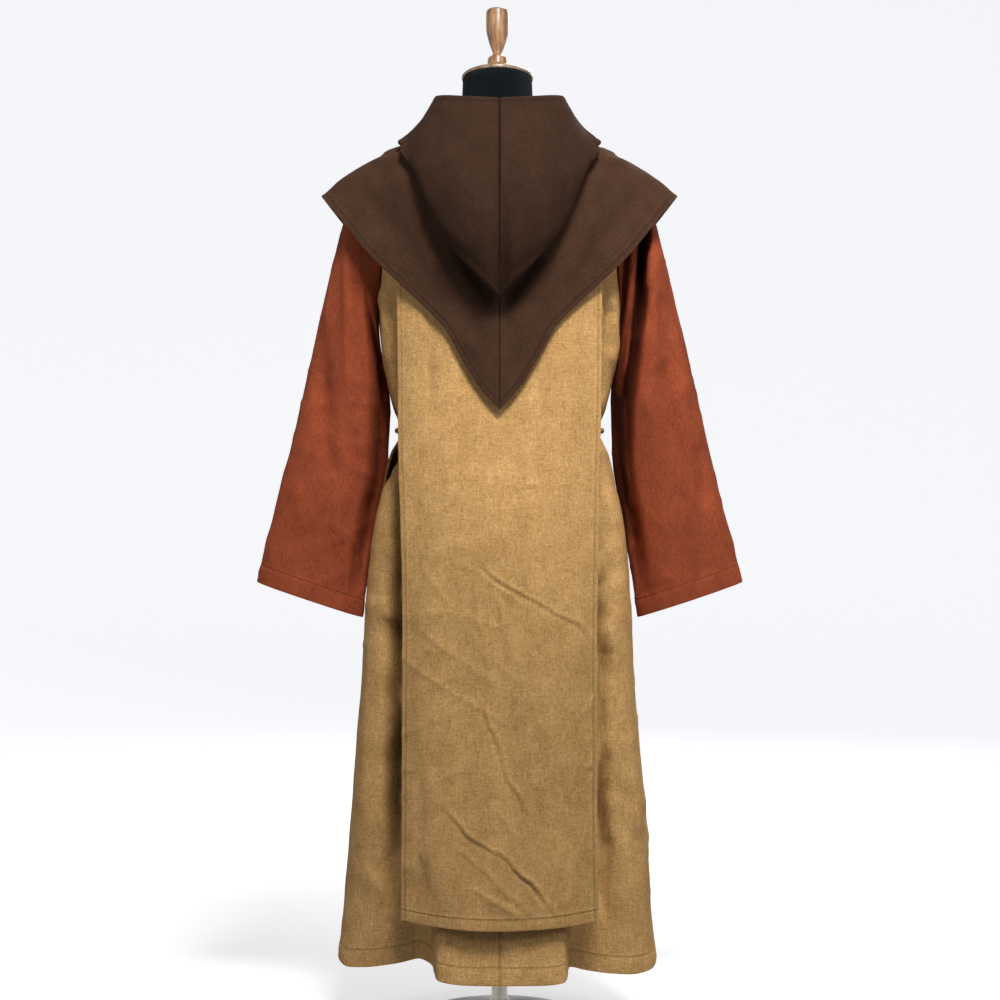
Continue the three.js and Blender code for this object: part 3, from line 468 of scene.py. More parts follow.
def panel_grid(layer, heights, ends, edge, count, rise):
    """Points of a layer between two angles that may change with height, with
    close stations at both edges and count even ones from edge to edge. Rise
    lifts a row's points by their angle."""
    z = np.array(heights, float)[:, None]
    low, high = ends(z[:, 0])
    at = mix(low[:, None], high[:, None], np.linspace(0, 1, 121)[None, :])
    run = lengths(on_layer(layer, at, z + 0 * at), 1)
    edge = np.array(edge, float)
    placed = []
    for far, one_run, one_at in zip(run[:, -1], run, at):
        between = np.linspace(edge[-1], far - edge[-1], count)[1:-1]
        stations = np.concatenate([edge, between, far - edge[::-1]])
        placed.append(np.interp(stations, one_run, one_at))
    placed = np.stack(placed)
    height = z + rise(placed, z + 0 * placed)
    return on_layer(layer, placed, height), placed, height


def edge_offsets(points):
    """Distance along the cloth of each point from the four edges: first row,
    last row, first column and last column."""
    down = lengths(points, 0)
    across = lengths(points, 1)
    return down, down[-1:] - down, across, across[:, -1:] - across


def axis_of(points):
    """The point on the leaning axis beside each point."""
    z = points[..., 2]
    return np.stack([0 * z, axis_y(z), z], axis=-1)


# ---- Stitches ----------------------------------------------------------------
def stitches(name, lines, pitch=5.2, long=3.4, wide=0.8, high=0.35, sunk=0.3):
    """A row of short thread bars lying on the cloth along each line."""
    ring = [(wide / 2, 0), (0, high), (-wide / 2, 0), (0, -high)]
    bar = np.array([(-long / 2, 0, -sunk)] + [(-long / 4, a, b) for a, b in ring]
                   + [(long / 4, a, b) for a, b in ring] + [(long / 2, 0, -sunk)])
    pairs = [(1 + k, 1 + (k + 1) % 4) for k in range(4)]
    faces_of_bar = [(0, b, a) for a, b in pairs] + [(9, a + 4, b + 4) for a, b in pairs]
    faces_of_bar += [(a, b, b + 4, a + 4) for a, b in pairs]
    points, faces, start = [], [], 0
    for line, facing in lines:
        run = lengths(line, 0)
        at = (np.arange(int(run[-1] / pitch)) + 0.5) * pitch

        def read(values, spots):
            return np.stack([np.interp(spots, run, values[:, k]) for k in range(3)], axis=-1)

        centre = read(line, at)
        tangent = read(line, at + 1) - read(line, at - 1)
        tangent /= np.linalg.norm(tangent, axis=1, keepdims=True)
        side = np.cross(read(facing, at), tangent)
        side /= np.linalg.norm(side, axis=1, keepdims=True)
        normal = np.cross(tangent, side)
        made = (centre[:, None] + bar[None, :, :1] * tangent[:, None]
                + bar[None, :, 1:2] * side[:, None] + bar[None, :, 2:] * normal[:, None])
        points.append(made.reshape(-1, 3))
        for _ in at:
            faces += [tuple(start + i for i in face) for face in faces_of_bar]
            start += len(bar)
    return make_mesh(name, np.concatenate(points), faces)


def row_line(outer, face, index):
    return outer[index], face[index]


def column_line(outer, face, index, start):
    return outer[start:, index], face[start:, index]


# ---- Tunic ---------------------------------------------------------------------
def armhole_width(z):
    share = (2 * z - UNDERARM_HEIGHT - SHOULDER_HEIGHT) / (SHOULDER_HEIGHT - UNDERARM_HEIGHT)
    return np.where(np.abs(share) >= 1, 0, ARMHOLE_WIDTH * np.sqrt(np.maximum(0, 1 - share * share)))


def hem_lift(at, z):
    return (fold_hem(unwrap(at)) - HEM_HEIGHT) * np.clip(1 - (z - HEM_HEIGHT) / HEM_LIFT_FADE, 0, 1)


def tunic_heights():
    turns = (1 - np.cos(np.linspace(0, np.pi, 37))) / 2
    return np.concatenate([
        HEM_HEIGHT + np.array(HEM_ROWS), np.arange(150, 930, 8.0), np.arange(930, 1020, 4.0),
        np.arange(1020, 1158, 8.0), UNDERARM_HEIGHT + (SHOULDER_HEIGHT - UNDERARM_HEIGHT) * turns,
        np.arange(1408, 1472, 5.0), [1472]])


def tunic_panel(name, low, high, creases):
    def ends(z):
        inset = lambda at: SEAM / 2 / tunic_layer(at + 0 * z, z) / np.radians(1)
        gather = lambda at: 0 if at == 0 else armhole_width(z)
        return low + inset(low) + gather(low), high - inset(high) - gather(high)

    count = int((high - low) * 0.62) + 1
    points, at, height = panel_grid(tunic_layer, tunic_heights(), ends, SEAM_ROWS, count, hem_lift)
    down, _, left, right = edge_offsets(points)
    relief = hem_step(down, TUNIC_HEM) + seam_dip(left) + seam_dip(right)
    tone = hem_tone(down, TUNIC_HEM) + seam_tone(left) + seam_tone(right) + 0.04
    free = ramp(BELT_HEIGHT - height, 60, 260)
    relief += free * 1.6 * billow(at * 2.2, height, 120, 3) + free * 0.6 * billow(at * 2.2, height, 45, 4)
    waist = bell(height, BELT_HEIGHT, 26)
    relief += -0.5 * waist + 0.5 * waist * sin(at * 14 + 40 * sin(at * 3))
    around = points[..., 0] if high - low < 100 else (at - 180) * 3.8
    relief += creased(around, height, creases)
    relief += free * 1.6 * crumple(at * 3.8, height, 52, 60)
    relief *= mix(1, 0.3, ramp(height, 1350, 1400))
    return cloth_shell(name, points, relief, axis_of(points), tone=tone)


# ---- Sleeves -------------------------------------------------------------------
def armhole_height(turn):
    return mix(UNDERARM_HEIGHT, SHOULDER_HEIGHT, (1 - np.cos(turn)) / 2)


def sleeve_rings(side, turn, along):
    facing = np.where(turn <= np.pi, 1.0, -1.0)
    turn = np.where(turn <= np.pi, turn, 2 * np.pi - turn)
    z = armhole_height(np.pi - turn)
    start = on_layer(tunic_layer, side * (90 - facing * armhole_width(z)), z)
    start = start + 3 * SEAM * np.stack([0 * turn, facing * np.sin(turn), -np.cos(turn)], axis=-1)
    power = 2 / SLEEVE_FULLNESS
    across = np.sign(np.cos(turn)) * np.abs(np.cos(turn)) ** power
    depth = facing * np.abs(np.sin(turn)) ** power
    share = (1 + across) / 2
    hung = np.stack([
        side * mix(sleeve_in_x(along), sleeve_out_x(along), share), -depth * sleeve_deep(along),
        mix(sleeve_in_z(along), sleeve_out_z(along), share)], axis=-1)
    return mix(start, hung, ramp(along, 0, SLEEVE_BLEND)[..., None])


def sleeve_cloth(name, side, creases):
    turn = np.linspace(0, 2 * np.pi, 113)[:-1]
    cuff = np.array(CUFF_ROWS) / 640
    along = np.concatenate([
        np.linspace(0, 0.1, 13)[:-1], np.linspace(0.1, 1 - cuff[-1], 84)[:-1], 1 - cuff[::-1]])[:, None]
    points = sleeve_rings(side, turn[None, :], along)
    # The inner edge hangs turned in, deep behind the outer fold.
    beside = np.abs(points[..., 0]) - sleeve_in_x(along)
    deep, narrow, wide = TURN_IN[side]
    turned_in = (1 - ramp(beside, narrow, wide)) * ramp(along, 0.1, 0.26) * (1 - ramp(along, 0.8, 1.0))
    points[..., 1] += deep * turned_in * (1 - points[..., 1] / sleeve_deep(along))
    x, y, z = points[..., 0], points[..., 1], points[..., 2]
    # The back of the right sleeve drops into one deep fold, with a lip beside it.
    behind = np.sin(turn)[None, :]
    fold = sleeve_fold(z)
    lip = ramp(x, fold - 40, fold - 29) * (1 - ramp(x, fold - 23, fold - 11)) * ramp(z, 1000, 1080)
    sunk = (1 - ramp(x, fold - 10, fold + 6)) * (1 - 0.9 * lip) * (side > 0) * ramp(behind, -0.1, 0.05)
    sunk = sunk * ramp(along, 0.03, 0.1) * (1 - ramp(along, 0.86, 1.0))
    points[..., 1] += sunk * np.clip(-2 * y - 10, 0, SLEEVE_FOLD_DEPTH)
    centre = points.mean(axis=1, keepdims=True) + 0 * points
    down, up, _, _ = edge_offsets(points)
    relief = hem_step(up, CUFF_HEM) + seam_dip(down)
    # Painted shade: the turned-in strip of the inner edge and the deep fold down the right sleeve are painted
    # darker.
    tone = hem_tone(up, CUFF_HEM, 0.08) + seam_tone(down) - 0.012 * deep * turned_in * (y < 10) - 0.85 * sunk
    loose = ramp(along, 0.05, 0.3)
    girth = turn[None, :] * 60
    relief += loose * (1.8 * billow(girth, z, 90, 11 + side) + 0.6 * billow(girth, z, 36, 13))
    back, front = creases
    relief += creased(x, z, back) * ramp(behind, 0.02, 0.3) * (1 - sunk)
    relief += creased(x, z, front) * ramp(-behind, 0.02, 0.3)
    relief += loose * 1.8 * crumple(girth * side + 300, z, 46, 70 + side)
    return cloth_shell(name, points, relief, centre, wrap=True, tone=tone)


# ---- Scapular ------------------------------------------------------------------
def scapular_turn(middle, z):
    low, high = np.full(z.shape, 20.0), np.full(z.shape, 90.0)
    for _ in range(30):
        turn = (low + high) / 2
        inside = scapular_layer(middle + turn, z) * sin(turn) < scapular_half(z)
        low, high = np.where(inside, turn, low), np.where(inside, high, turn)
    at_shoulder = scapular_layer(middle + 90 + 0 * z, z)
    return np.where(at_shoulder <= scapular_half(z), 90 - SEAM / 2 / at_shoulder / np.radians(1), low)


def scapular_panel(name, middle, creases):
    foot = SCAPULAR[0][0]
    heights = np.concatenate([
        foot + np.array(SCAPULAR_ROWS), np.arange(219, 1380, 3.6),
        np.arange(1384, SCAPULAR_TOP, 4.0), [SCAPULAR_TOP]])

    def ends(z):
        turn = scapular_turn(middle, z)
        return middle - turn, middle + turn

    def rise(at, z):
        return SCAPULAR_HEM_RISE * ((at - middle) / 50) ** 2 * np.clip(1 - (z - foot) / 200, 0, 1)

    points, at, height = panel_grid(scapular_layer, heights, ends, EDGE_ROWS, 96, rise)
    down, _, left, right = edge_offsets(points)
    x, side = points[..., 0], np.minimum(left, right)
    relief = hem_step(down, SCAPULAR_HEM) + np.where(height < 1400, hem_step(side, SIDE_HEM, 0.6), 0)
    tone = hem_tone(down, SCAPULAR_HEM) + np.where(height < 1400, hem_tone(side, SIDE_HEM), 0)
    # Painted shade: the scapular is painted darker towards its hem, where less light falls.
    tone -= 0.17 * ramp(980 - height, 0, 450)
    loose = ramp(1250 - height, 0, 400)
    swell = 2.8 * billow(x * 1.5, height * 0.5, 80, 21 + middle) + 0.8 * billow(x * 1.3, height, 42, 22)
    relief += loose * swell + creased(x, height, creases)
    relief += ramp(1050 - height, 0, 260) * 1.5 * crumple(x, height, 44, 80 + middle)
    room = (scapular_layer(at, height) - tunic_layer(at, height)) / slant(scapular_layer, at, height)
    relief = np.maximum(relief, CLOTH + CLEARANCE - room)
    return cloth_shell(name, points, relief, axis_of(points), tone=tone)


# ---- Cape ------------------------------------------------------------------------
def cape_hem(at):
    low, high = np.full(at.shape, 1000.0), np.full(at.shape, 1362.0)
    for _ in range(40):
        z = (low + high) / 2
        out = np.abs(cape_layer(at, z) * sin(at))
        hem = np.where(cos(at) >= 0, cape_hem_back(out), cape_hem_front(out))
        low, high = np.where(z < hem, z, low), np.where(z < hem, high, z)
    return (low + high) / 2


def half_angles():
    return np.concatenate([SEAM_ANGLES, np.arange(4, 176.1, 2), 180 - np.array(SEAM_ANGLES[::-1])])


def cape_half(name, side, creases):
    at = half_angles()
    hem = cape_hem(at)

    def lay(share):
        z = mix(CAPE_NECK, hem, share)
        seam = SEAM / 2 / cape_layer(at + 0 * z, z) / np.radians(1)
        angle = side * np.clip(at + 0 * z, seam, 180 - seam)
        return on_layer(cape_layer, angle, z), angle

    fine = np.linspace(0, 1, 90)[:, None]
    rough, _ = lay(fine)
    run = lengths(rough, 0)
    away = np.gradient(rough[-1], axis=0)
    drop = rough[-1] - rough[-2]
    away /= np.linalg.norm(away, axis=1, keepdims=True)
    drop /= np.linalg.norm(drop, axis=1, keepdims=True)
    # Columns run down to a slanting hem, so their stations there are spread.
    stretch = 1 / np.maximum(0.35, np.linalg.norm(np.cross(away, drop), axis=1))
    shares = []
    for k, total in enumerate(run[-1]):
        near = np.array(CAPE_ROWS) * min(stretch[k], total / 60)
        places = np.concatenate([np.linspace(0, total - near[-1], 46)[:-1], total - near[::-1]])
        shares.append(np.interp(places, run[:, k], fine[:, 0]))
    points, angle = lay(np.stack(shares, axis=1))
    _, up, left, right = edge_offsets(points)
    off = up / stretch
    x, z = points[..., 0], points[..., 2]
    behind = cos(angle) > 0
    relief = hem_step(off, SIDE_HEM) + seam_dip(left) + seam_dip(right)
    tone = hem_tone(off, SIDE_HEM) + seam_tone(left) + seam_tone(right)
    relief += ramp(off, 10, 60) * 1.4 * billow(angle * 3.2, z, 80, 31 + side)
    back, front = creases
    relief += np.where(behind, creased(x, z, back), creased(x, z, front))
    # Painted shadow on the back of the cape, under the hood's tip.
    for line in HOOD_SHADE:
        tone += np.where(behind, crease(x, z, line, HOOD_SHADE_DEPTH, HOOD_SHADE_WIDTH), 0)
    relief += ramp(off, 14, 60) * 0.8 * crumple(x, z, 50, 90)
    room = (cape_layer(angle, z) - scapular_layer(angle, z)) / slant(cape_layer, angle, z)
    relief = np.maximum(relief, CLOTH + CLEARANCE - room)
    return cloth_shell(name, points, relief, axis_of(points), tone=tone)


# ---- Hood ------------------------------------------------------------------------
def hood_sections(at):
    """Radii and heights along the hood's section, one column for each angle."""
    gut = hood_gut(at)
    floor = hood_fold(at) + gut

    def lie(z):
        ease = HOOD_EASE * np.clip((HOOD_NECK - z) / 20, 0, 1)
        return cape_layer(at + 0 * z, z) + (HOOD_SEAT + ease) * slant(cape_layer, at + 0 * z, z)

    inner = mix(HOOD_NECK, floor, np.linspace(0, 1, INNER_ROWS)[:, None])
    section = [np.stack([lie(inner), inner], axis=-1)]
    start = section[0][-1]
    down = np.stack([lie(floor - 1) - start[:, 0], -1 + 0 * floor], axis=-1)
    down /= np.linalg.norm(down, axis=1, keepdims=True)
    off = np.stack([-down[:, 1], down[:, 0]], axis=-1)
    gut = gut[:, None]
    angle = np.pi * np.arange(1, ARC_ROWS + 1)[:, None, None] / (ARC_ROWS + 1)
    section.append(start + off * gut * (1 - np.cos(angle)) + down * gut * np.sin(angle))
    first = start + off * 2 * gut
    belly = np.stack([hood_belly(at), hood_belly_z(at)], axis=-1)
    edge = np.stack([hood_edge(at), hood_edge_z(at)], axis=-1)
    t = np.linspace(0, 1, 60)[:, None, None]
    section.append((1 - t) ** 2 * first + 2 * t * (1 - t) * belly + t * t * edge)
    return np.concatenate(section)


def hood_half(name, side, creases):
    at = half_angles()
    edge = np.array(HOOD_ROWS)
    grid = []
    for section in hood_sections(at).transpose(1, 0, 2):
        run = lengths(section, 0)
        # The stations are close round the bottom of the fold's arc.
        turn = run[INNER_ROWS + ARC_ROWS // 2]
        near = 18 * min(1, turn / 60)
        places = np.concatenate([
            np.linspace(0, turn - near, 22)[:-1], np.linspace(turn - near, turn + near, 13)[:-1],
            np.linspace(turn + near, run[-1] - edge[-1], 44)[:-1], run[-1] - edge[::-1]])
        grid.append(np.stack([np.interp(places, run, section[:, k]) for k in range(2)], axis=-1))
    radius, z = np.moveaxis(np.stack(grid, axis=1), -1, 0)
    rows = np.arange(len(radius))[:, None] + 0 * radius
    stand = HOOD_STAND * ramp(at, 1, 6) * (1 - ramp(at, 12, 36))
    radius = radius + stand * ramp(rows, 4, 22) * (1 - ramp(rows, 34, 62))
    seam = SEAM / 2 / hood_edge(at) / np.radians(1)
    angle = side * np.clip(at, seam, 180 - seam) + 0 * radius
    points = polar(radius, angle, z)
    x = points[..., 0]
    _, up, left, right = edge_offsets(points)
    outside = ramp(rows, 26, 32)
    relief = hem_step(up, HOOD_HEM) + seam_dip(left) + seam_dip(right)
    # Painted shade: the hood's outside is painted 0.36 darker than the same brown cloth of the cape.
    tone = outside * (hem_tone(up, HOOD_HEM) + seam_tone(left) + seam_tone(right) - 0.36)
    relief += ramp(up, 15, 60) * 1.8 * billow(angle * 2.6, z, 70, 41 + side)
    back, front = creases
    relief += np.where(cos(angle) > 0, creased(x, z, back), creased(x, z, front))
    relief += ramp(up, 18, 60) * 1.2 * crumple(x, z, 42, 95)
    # The cloth doubles back, so its face is told by the run that shows.
    normal = normals_of(points, False)
    shows = slice(len(points) * 2 // 3, None)
    facing = np.sum(normal[shows] * (points - axis_of(points))[shows])
    inside = points - normal * (1 if facing > 0 else -1)
    return cloth_shell(name, points, outside * relief, inside, tone=tone)


# ---- Belt --------------------------------------------------------------------------
def belt_rope(name):
    """Three strands laid round each other, following the waist of the tunic."""
    at = np.linspace(-180, 180, 721)[:-1]
    z = np.full(at.shape, float(BELT_HEIGHT))
    centre = on_layer(lambda a, h: tunic_layer(a, h) + BELT_EASE + BELT_RADIUS, at, z)
    run = lengths(np.concatenate([centre, centre[:1]]), 0)
    turns = round(run[-1] / STRAND_TURN)
    out = centre * [1, 1, 0]
    out /= np.linalg.norm(out, axis=1, keepdims=True)
    along = np.roll(centre, -1, axis=0) - np.roll(centre, 1, axis=0)
    along /= np.linalg.norm(along, axis=1, keepdims=True)
    up = np.cross(out, along)
    phase = 2 * np.pi * turns * run[:-1] / run[-1]
    aside = lambda turn: np.cos(turn)[:, None] * out + np.sin(turn)[:, None] * up
    points, faces = [], []
    for strand in range(3):
        lay = phase + 2 * np.pi * strand / 3
        middle = centre + STRAND_OFFSET * aside(lay)
        for k in range(STRAND_SIDES):
            points.append(middle + STRAND_RADIUS * aside(lay + 2 * np.pi * k / STRAND_SIDES))
        grid = (strand * STRAND_SIDES + np.arange(STRAND_SIDES)[:, None]) * len(at) + np.arange(len(at))
        for a, b in zip(grid, np.roll(grid, -1, axis=0)):
            faces.append(np.stack([a, np.roll(a, -1), np.roll(b, -1), b], axis=-1))
    made = make_mesh(name, np.concatenate(points), np.concatenate(faces).tolist())
    face_out(made)
    return made


def face_out(made):
    """Turn every loose part of a mesh to face away from its own middle."""
    bpy.ops.object.select_all(action="DESELECT")
    made.select_set(True)
    bpy.context.view_layer.objects.active = made
    bpy.ops.object.mode_set(mode="EDIT")
    bpy.ops.mesh.select_all(action="SELECT")
    bpy.ops.mesh.normals_make_consistent(inside=False)
    bpy.ops.object.mode_set(mode="OBJECT")
    made.select_set(False)


# ---- Dress form ----------------------------------------------------------------------
def form_cover(name):
    """The jersey cover, drawn tight over the form and closed round the pole."""
    tilt = math.tan(math.radians(CAP_TILT))
    at = np.linspace(-180, 180, 181)[:-1][None, :]
    body = np.concatenate([
        FORM_BOTTOM + np.array([0, 2, 6, 13]), np.arange(758, 1404, 14), np.arange(1404, 1472, 5), [1472]])
    points = [on_layer(form_layer, at, z + 0 * at)[0] for z in body]
    foot = [points[0] * [share, share, 1] + [0, 0, 0.3] for share in (0.11, 0.2, 0.45, 0.75, 0.93)]
    neck = [on_layer(form_layer, at, z + 0 * at)[0] + [NECK_OFFSET * min(1, (z - 1472) / 16), 0, 0]
            for z in np.arange(1476, 1545, 6)]
    rim = on_layer(form_layer, at, NECK_TOP + 0 * at)[0] + [NECK_OFFSET, 0, 0]
    rim[:, 2] = NECK_TOP - (rim[:, 1] - axis_y(NECK_TOP)) * tilt
    middle = np.array([NECK_OFFSET, axis_y(NECK_TOP), NECK_TOP])
    crown = [mix(middle, rim, share) for share in (0.9, 0.6, 0.3, 0.02)]
    below = mix(neck[-1], rim, 0.6)
    rings = np.stack(foot + points + neck[:-1] + [below, rim] + crown)
    inside = axis_of(rings)
    inside[..., 2] = np.clip(rings[..., 2], FORM_BOTTOM + 60, NECK_TOP - 60)
    return cloth_shell(name, rings, np.full(rings.shape[:2], 0.35), inside, wrap=True, thick=1.4)


# ---- Turned pieces ---------------------------------------------------------------------
def turned(name, rows, segments=64):
    """A piece spun about the upright axis from (height, radius) rows, in mm."""
    bpy.ops.object.select_all(action="DESELECT")
    bpy.ops.mesh.primitive_circle_add(
        vertices=segments, radius=rows[0][1] / 1000, fill_type="NGON", location=(0, 0, 0))
    made = bpy.context.object
    made.name = made.data.name = name
    bpy.ops.object.mode_set(mode="EDIT")
    bpy.ops.mesh.select_all(action="SELECT")
    bpy.ops.transform.translate(value=(0, 0, rows[0][0] / 1000))
    for (z, radius), (next_z, next_radius) in zip(rows, rows[1:]):
        bpy.ops.mesh.extrude_region_move(TRANSFORM_OT_translate={"value": (0, 0, (next_z - z) / 1000)})
        k = next_radius / radius
        bpy.ops.transform.resize(value=(k, k, 1))
    bpy.ops.mesh.select_all(action="SELECT")
    bpy.ops.mesh.normals_make_consistent(inside=False)
    bpy.ops.object.mode_set(mode="OBJECT")
    bpy.ops.object.shade_smooth_by_angle(angle=math.radians(32))
    made.select_set(False)
    return made


def settle(made, matrix):
    made.data.transform(matrix)
    made.data.update()


# ---- Materials ---------------------------------------------------------------------------
def linear(red, green, blue):
    part = lambda v: v / 12.92 if v <= 0.04045 else ((v + 0.055) / 1.055) ** 2.4
    return (part(red / 255), part(green / 255), part(blue / 255), 1)


class Nodes:
    """A short way to lay out one material's nodes."""

    def __init__(self, name):
        self.material = bpy.data.materials.new(name)
        self.material.use_nodes = True
        self.tree = self.material.node_tree
        self.shader = next(n for n in self.tree.nodes if n.type == "BSDF_PRINCIPLED")
        place = self.add("ShaderNodeTexCoord").outputs
        self.solid, self.flat = place["Object"], place["UV"]

    def add(self, kind, inputs=None, **settings):
        node = self.tree.nodes.new(kind)
        for key, value in settings.items():
            setattr(node, key, value)
        for key, value in (inputs or {}).items():
            self.put(node.inputs[key], value)
        return node

    def put(self, socket, value):
        if isinstance(value, bpy.types.NodeSocket):
            self.tree.links.new(value, socket)
        else:
            socket.default_value = value

    def set(self, **values):
        for key, value in values.items():
            self.put(self.shader.inputs[key.replace("_", " ")], value)

    def math(self, operation, a, b=0.0):
        return self.add("ShaderNodeMath", {0: a, 1: b}, operation=operation).outputs[0]

    def plus(self, a, b):
        return self.math("ADD", a, b)

    def times(self, a, b):
        return self.math("MULTIPLY", a, b)

    def wave(self, value, length):
        return self.math("SINE", self.times(value, 2 * math.pi / length))

    def vector(self, operation, a, b):
        return self.add("ShaderNodeVectorMath", {0: a, 1: b}, operation=operation).outputs[0]

    def split(self, vector):
        return self.add("ShaderNodeSeparateXYZ", {0: vector}).outputs

    def noise(self, vector, scale, detail=4.0, roughness=0.55):
        return self.add("ShaderNodeTexNoise", {"Vector": vector, "Scale": scale, "Detail": detail,
                                               "Roughness": roughness}).outputs[0]

    def stretch(self, vector, scale):
        return self.vector("MULTIPLY", vector, scale)

    def ramp(self, factor, *stops):
        node = self.add("ShaderNodeValToRGB", {"Fac": factor})
        marks = node.color_ramp.elements
        while len(marks) < len(stops):
            marks.new(0.5)
        for mark, (place, color) in zip(marks, stops):
            mark.position, mark.color = place, color
        return node.outputs[0]

    def level(self, value, low, high, to_low=0.0, to_high=1.0):
        return self.add("ShaderNodeMapRange", {0: value, 1: low, 2: high, 3: to_low, 4: to_high}).outputs[0]

    def blend(self, factor, a, b, kind="MIX"):
        node = self.add("ShaderNodeMix", data_type="RGBA", blend_type=kind)
        self.put(node.inputs[0], factor)
        self.put(node.inputs[6], a)
        self.put(node.inputs[7], b)
        return node.outputs[2]

    def bump(self, height, distance, strength=1.0, below=None):
        node = self.add("ShaderNodeBump", {"Height": height, "Distance": distance, "Strength": strength})
        if below is not None:
            self.put(node.inputs["Normal"], below)
        return node.outputs[0]


def wool(name, dark, main, light, pitch, spread, sheen):
    """Fulled plain-weave wool: mixed fibres, a blurred weave and a soft nap."""
    n = Nodes(name)
    wander = n.add("ShaderNodeTexNoise", {"Vector": n.flat, "Scale": 300, "Detail": 2}).outputs[1]
    drift = n.stretch(n.vector("SUBTRACT", wander, (0.5, 0.5, 0.5)), (0.0012, 0.0012, 0))
    across, along, _ = n.split(n.vector("ADD", n.flat, drift))
    weave = n.times(n.wave(across, pitch / 1000), n.wave(along, pitch / 1000))
    slub = n.noise(n.stretch(n.flat, (620, 36, 1)), 1.0, 3, 0.6)
    pick = n.noise(n.stretch(n.flat, (44, 620, 1)), 1.0, 3, 0.6)
    yarns = n.times(n.plus(slub, pick), 0.5)
    heather = n.noise(n.solid, 260, 6, 0.8)
    cloud = n.noise(n.solid, 26, 4, 0.6)
    wide = n.noise(n.stretch(n.solid, (34, 34, 4)), 1.0, 4, 0.55)
    mixed = n.plus(n.times(heather, 0.5), n.plus(n.times(cloud, 0.14), n.times(yarns, 0.36)))
    tone = n.ramp(mixed, (0.5 - spread * 0.2, dark), (0.5, main), (0.5 + spread * 0.2, light))
    # The shade attribute brings painted shade from folds, grooves, recesses and under the hood, with rubbed
    # edges and dark seams.
    shade = n.add("ShaderNodeAttribute", attribute_name="shade", attribute_type="GEOMETRY").outputs["Fac"]
    dim = n.times(n.times(n.level(wide, 0.3, 0.7, 0.92, 1.07), shade), n.level(weave, -1, 1, 0.93, 1.03))
    grey = n.add("ShaderNodeCombineColor", {0: dim, 1: dim, 2: dim}).outputs[0]
    fuzz = n.noise(n.solid, 900, 4, 0.75)
    height = n.plus(n.times(weave, 0.45), n.plus(n.times(fuzz, 0.9), yarns))
    soft = n.bump(n.plus(n.times(cloud, 0.5), n.times(wide, 2)), 0.0012, 0.5)
    n.set(Base_Color=n.blend(1.0, tone, grey, "MULTIPLY"), Roughness=n.level(heather, 0.3, 0.7, 0.86, 0.97),
          Sheen_Weight=sheen, Sheen_Roughness=0.55, Sheen_Tint=light, Specular_IOR_Level=0.05,
          Normal=n.bump(height, 0.00045, 0.7, soft))
    return n.material


def thread(name, color):
    """Sewing thread, whose plies darken it to 0.72 of its color."""
    n = Nodes(name)
    ply = n.noise(n.solid, 1400, 2)
    n.set(Base_Color=n.blend(ply, color, tuple(v * 0.72 for v in color[:3]) + (1,)), Roughness=0.75,
          Specular_IOR_Level=0.25, Normal=n.bump(ply, 0.0003, 0.5))
    return n.material


def jersey(name):
    """Fine rib-knit cotton: upright wales and a slight lint."""
    n = Nodes(name)
    across, along, _ = n.split(n.flat)
    knit = n.plus(n.wave(across, 0.0016), n.times(n.wave(along, 0.0011), 0.35))
    lint = n.noise(n.solid, 500, 4, 0.7)
    wide = n.noise(n.solid, 14, 3)
    tone = n.blend(n.level(lint, 0.45, 0.8), linear(6, 11, 15), linear(17, 25, 30))
    tone = n.blend(n.level(wide, 0.3, 0.7, 0, 0.35), tone, linear(11, 18, 23))
    n.set(Base_Color=tone, Roughness=0.9, Sheen_Weight=0.02, Sheen_Roughness=0.5, Specular_IOR_Level=0.04,
          Normal=n.bump(n.plus(knit, lint), 0.0004, 0.7))
    return n.material


def cord(name):
    """Twisted cord of coarse fibres."""
    n = Nodes(name)
    fibre = n.noise(n.stretch(n.solid, (700, 700, 260)), 1.0, 5, 0.7)
    wide = n.noise(n.solid, 20, 3)
    dark, main, light = linear(84, 66, 42), linear(128, 104, 70), linear(160, 134, 96)
    tone = n.ramp(fibre, (0.32, dark), (0.5, main), (0.68, light))
    tone = n.blend(n.level(wide, 0.3, 0.7, 0, 0.3), tone, linear(96, 76, 50))
    n.set(Base_Color=tone, Roughness=0.82, Specular_IOR_Level=0.25, Sheen_Weight=0.15, Sheen_Roughness=0.5,
          Normal=n.bump(fibre, 0.0008, 0.8))
    return n.material


def wood(name, dark, main, light):
    """Turned hardwood: long grain with fine pores under worn varnish."""
    n = Nodes(name)
    wander = n.noise(n.solid, 12, 3)
    grain = n.noise(n.stretch(n.solid, (150, 150, 14)), 1.0, 6, 0.6)
    pores = n.noise(n.stretch(n.solid, (1400, 1400, 90)), 1.0, 3, 0.6)
    mixed = n.plus(n.times(grain, 0.75), n.times(wander, 0.25))
    tone = n.ramp(mixed, (0.34, dark), (0.5, main), (0.66, light))
    tone = n.blend(n.level(pores, 0.62, 0.7, 0, 0.5), tone, dark)
    worn = n.noise(n.solid, 60, 4, 0.6)
    n.set(Base_Color=tone, Roughness=n.level(worn, 0.35, 0.65, 0.34, 0.52), Coat_Weight=0.18,
          Coat_Roughness=0.25, Specular_IOR_Level=0.45,
          Normal=n.bump(n.plus(grain, n.times(pores, -0.6)), 0.0003, 0.5))
    return n.material


def steel(name):
    """Satin tube: fine lengthwise brushing, with handling marks."""
    n = Nodes(name)
    brush = n.noise(n.stretch(n.solid, (2600, 2600, 26)), 1.0, 4, 0.6)
    marks = n.noise(n.stretch(n.solid, (40, 40, 18)), 1.0, 5, 0.6)
    tone = n.blend(marks, linear(176, 170, 158), linear(206, 200, 190))
    n.set(Base_Color=tone, Metallic=1.0, Roughness=n.level(n.plus(brush, marks), 0.7, 1.3, 0.36, 0.52),
          Normal=n.bump(brush, 0.0001, 0.35))
    return n.material


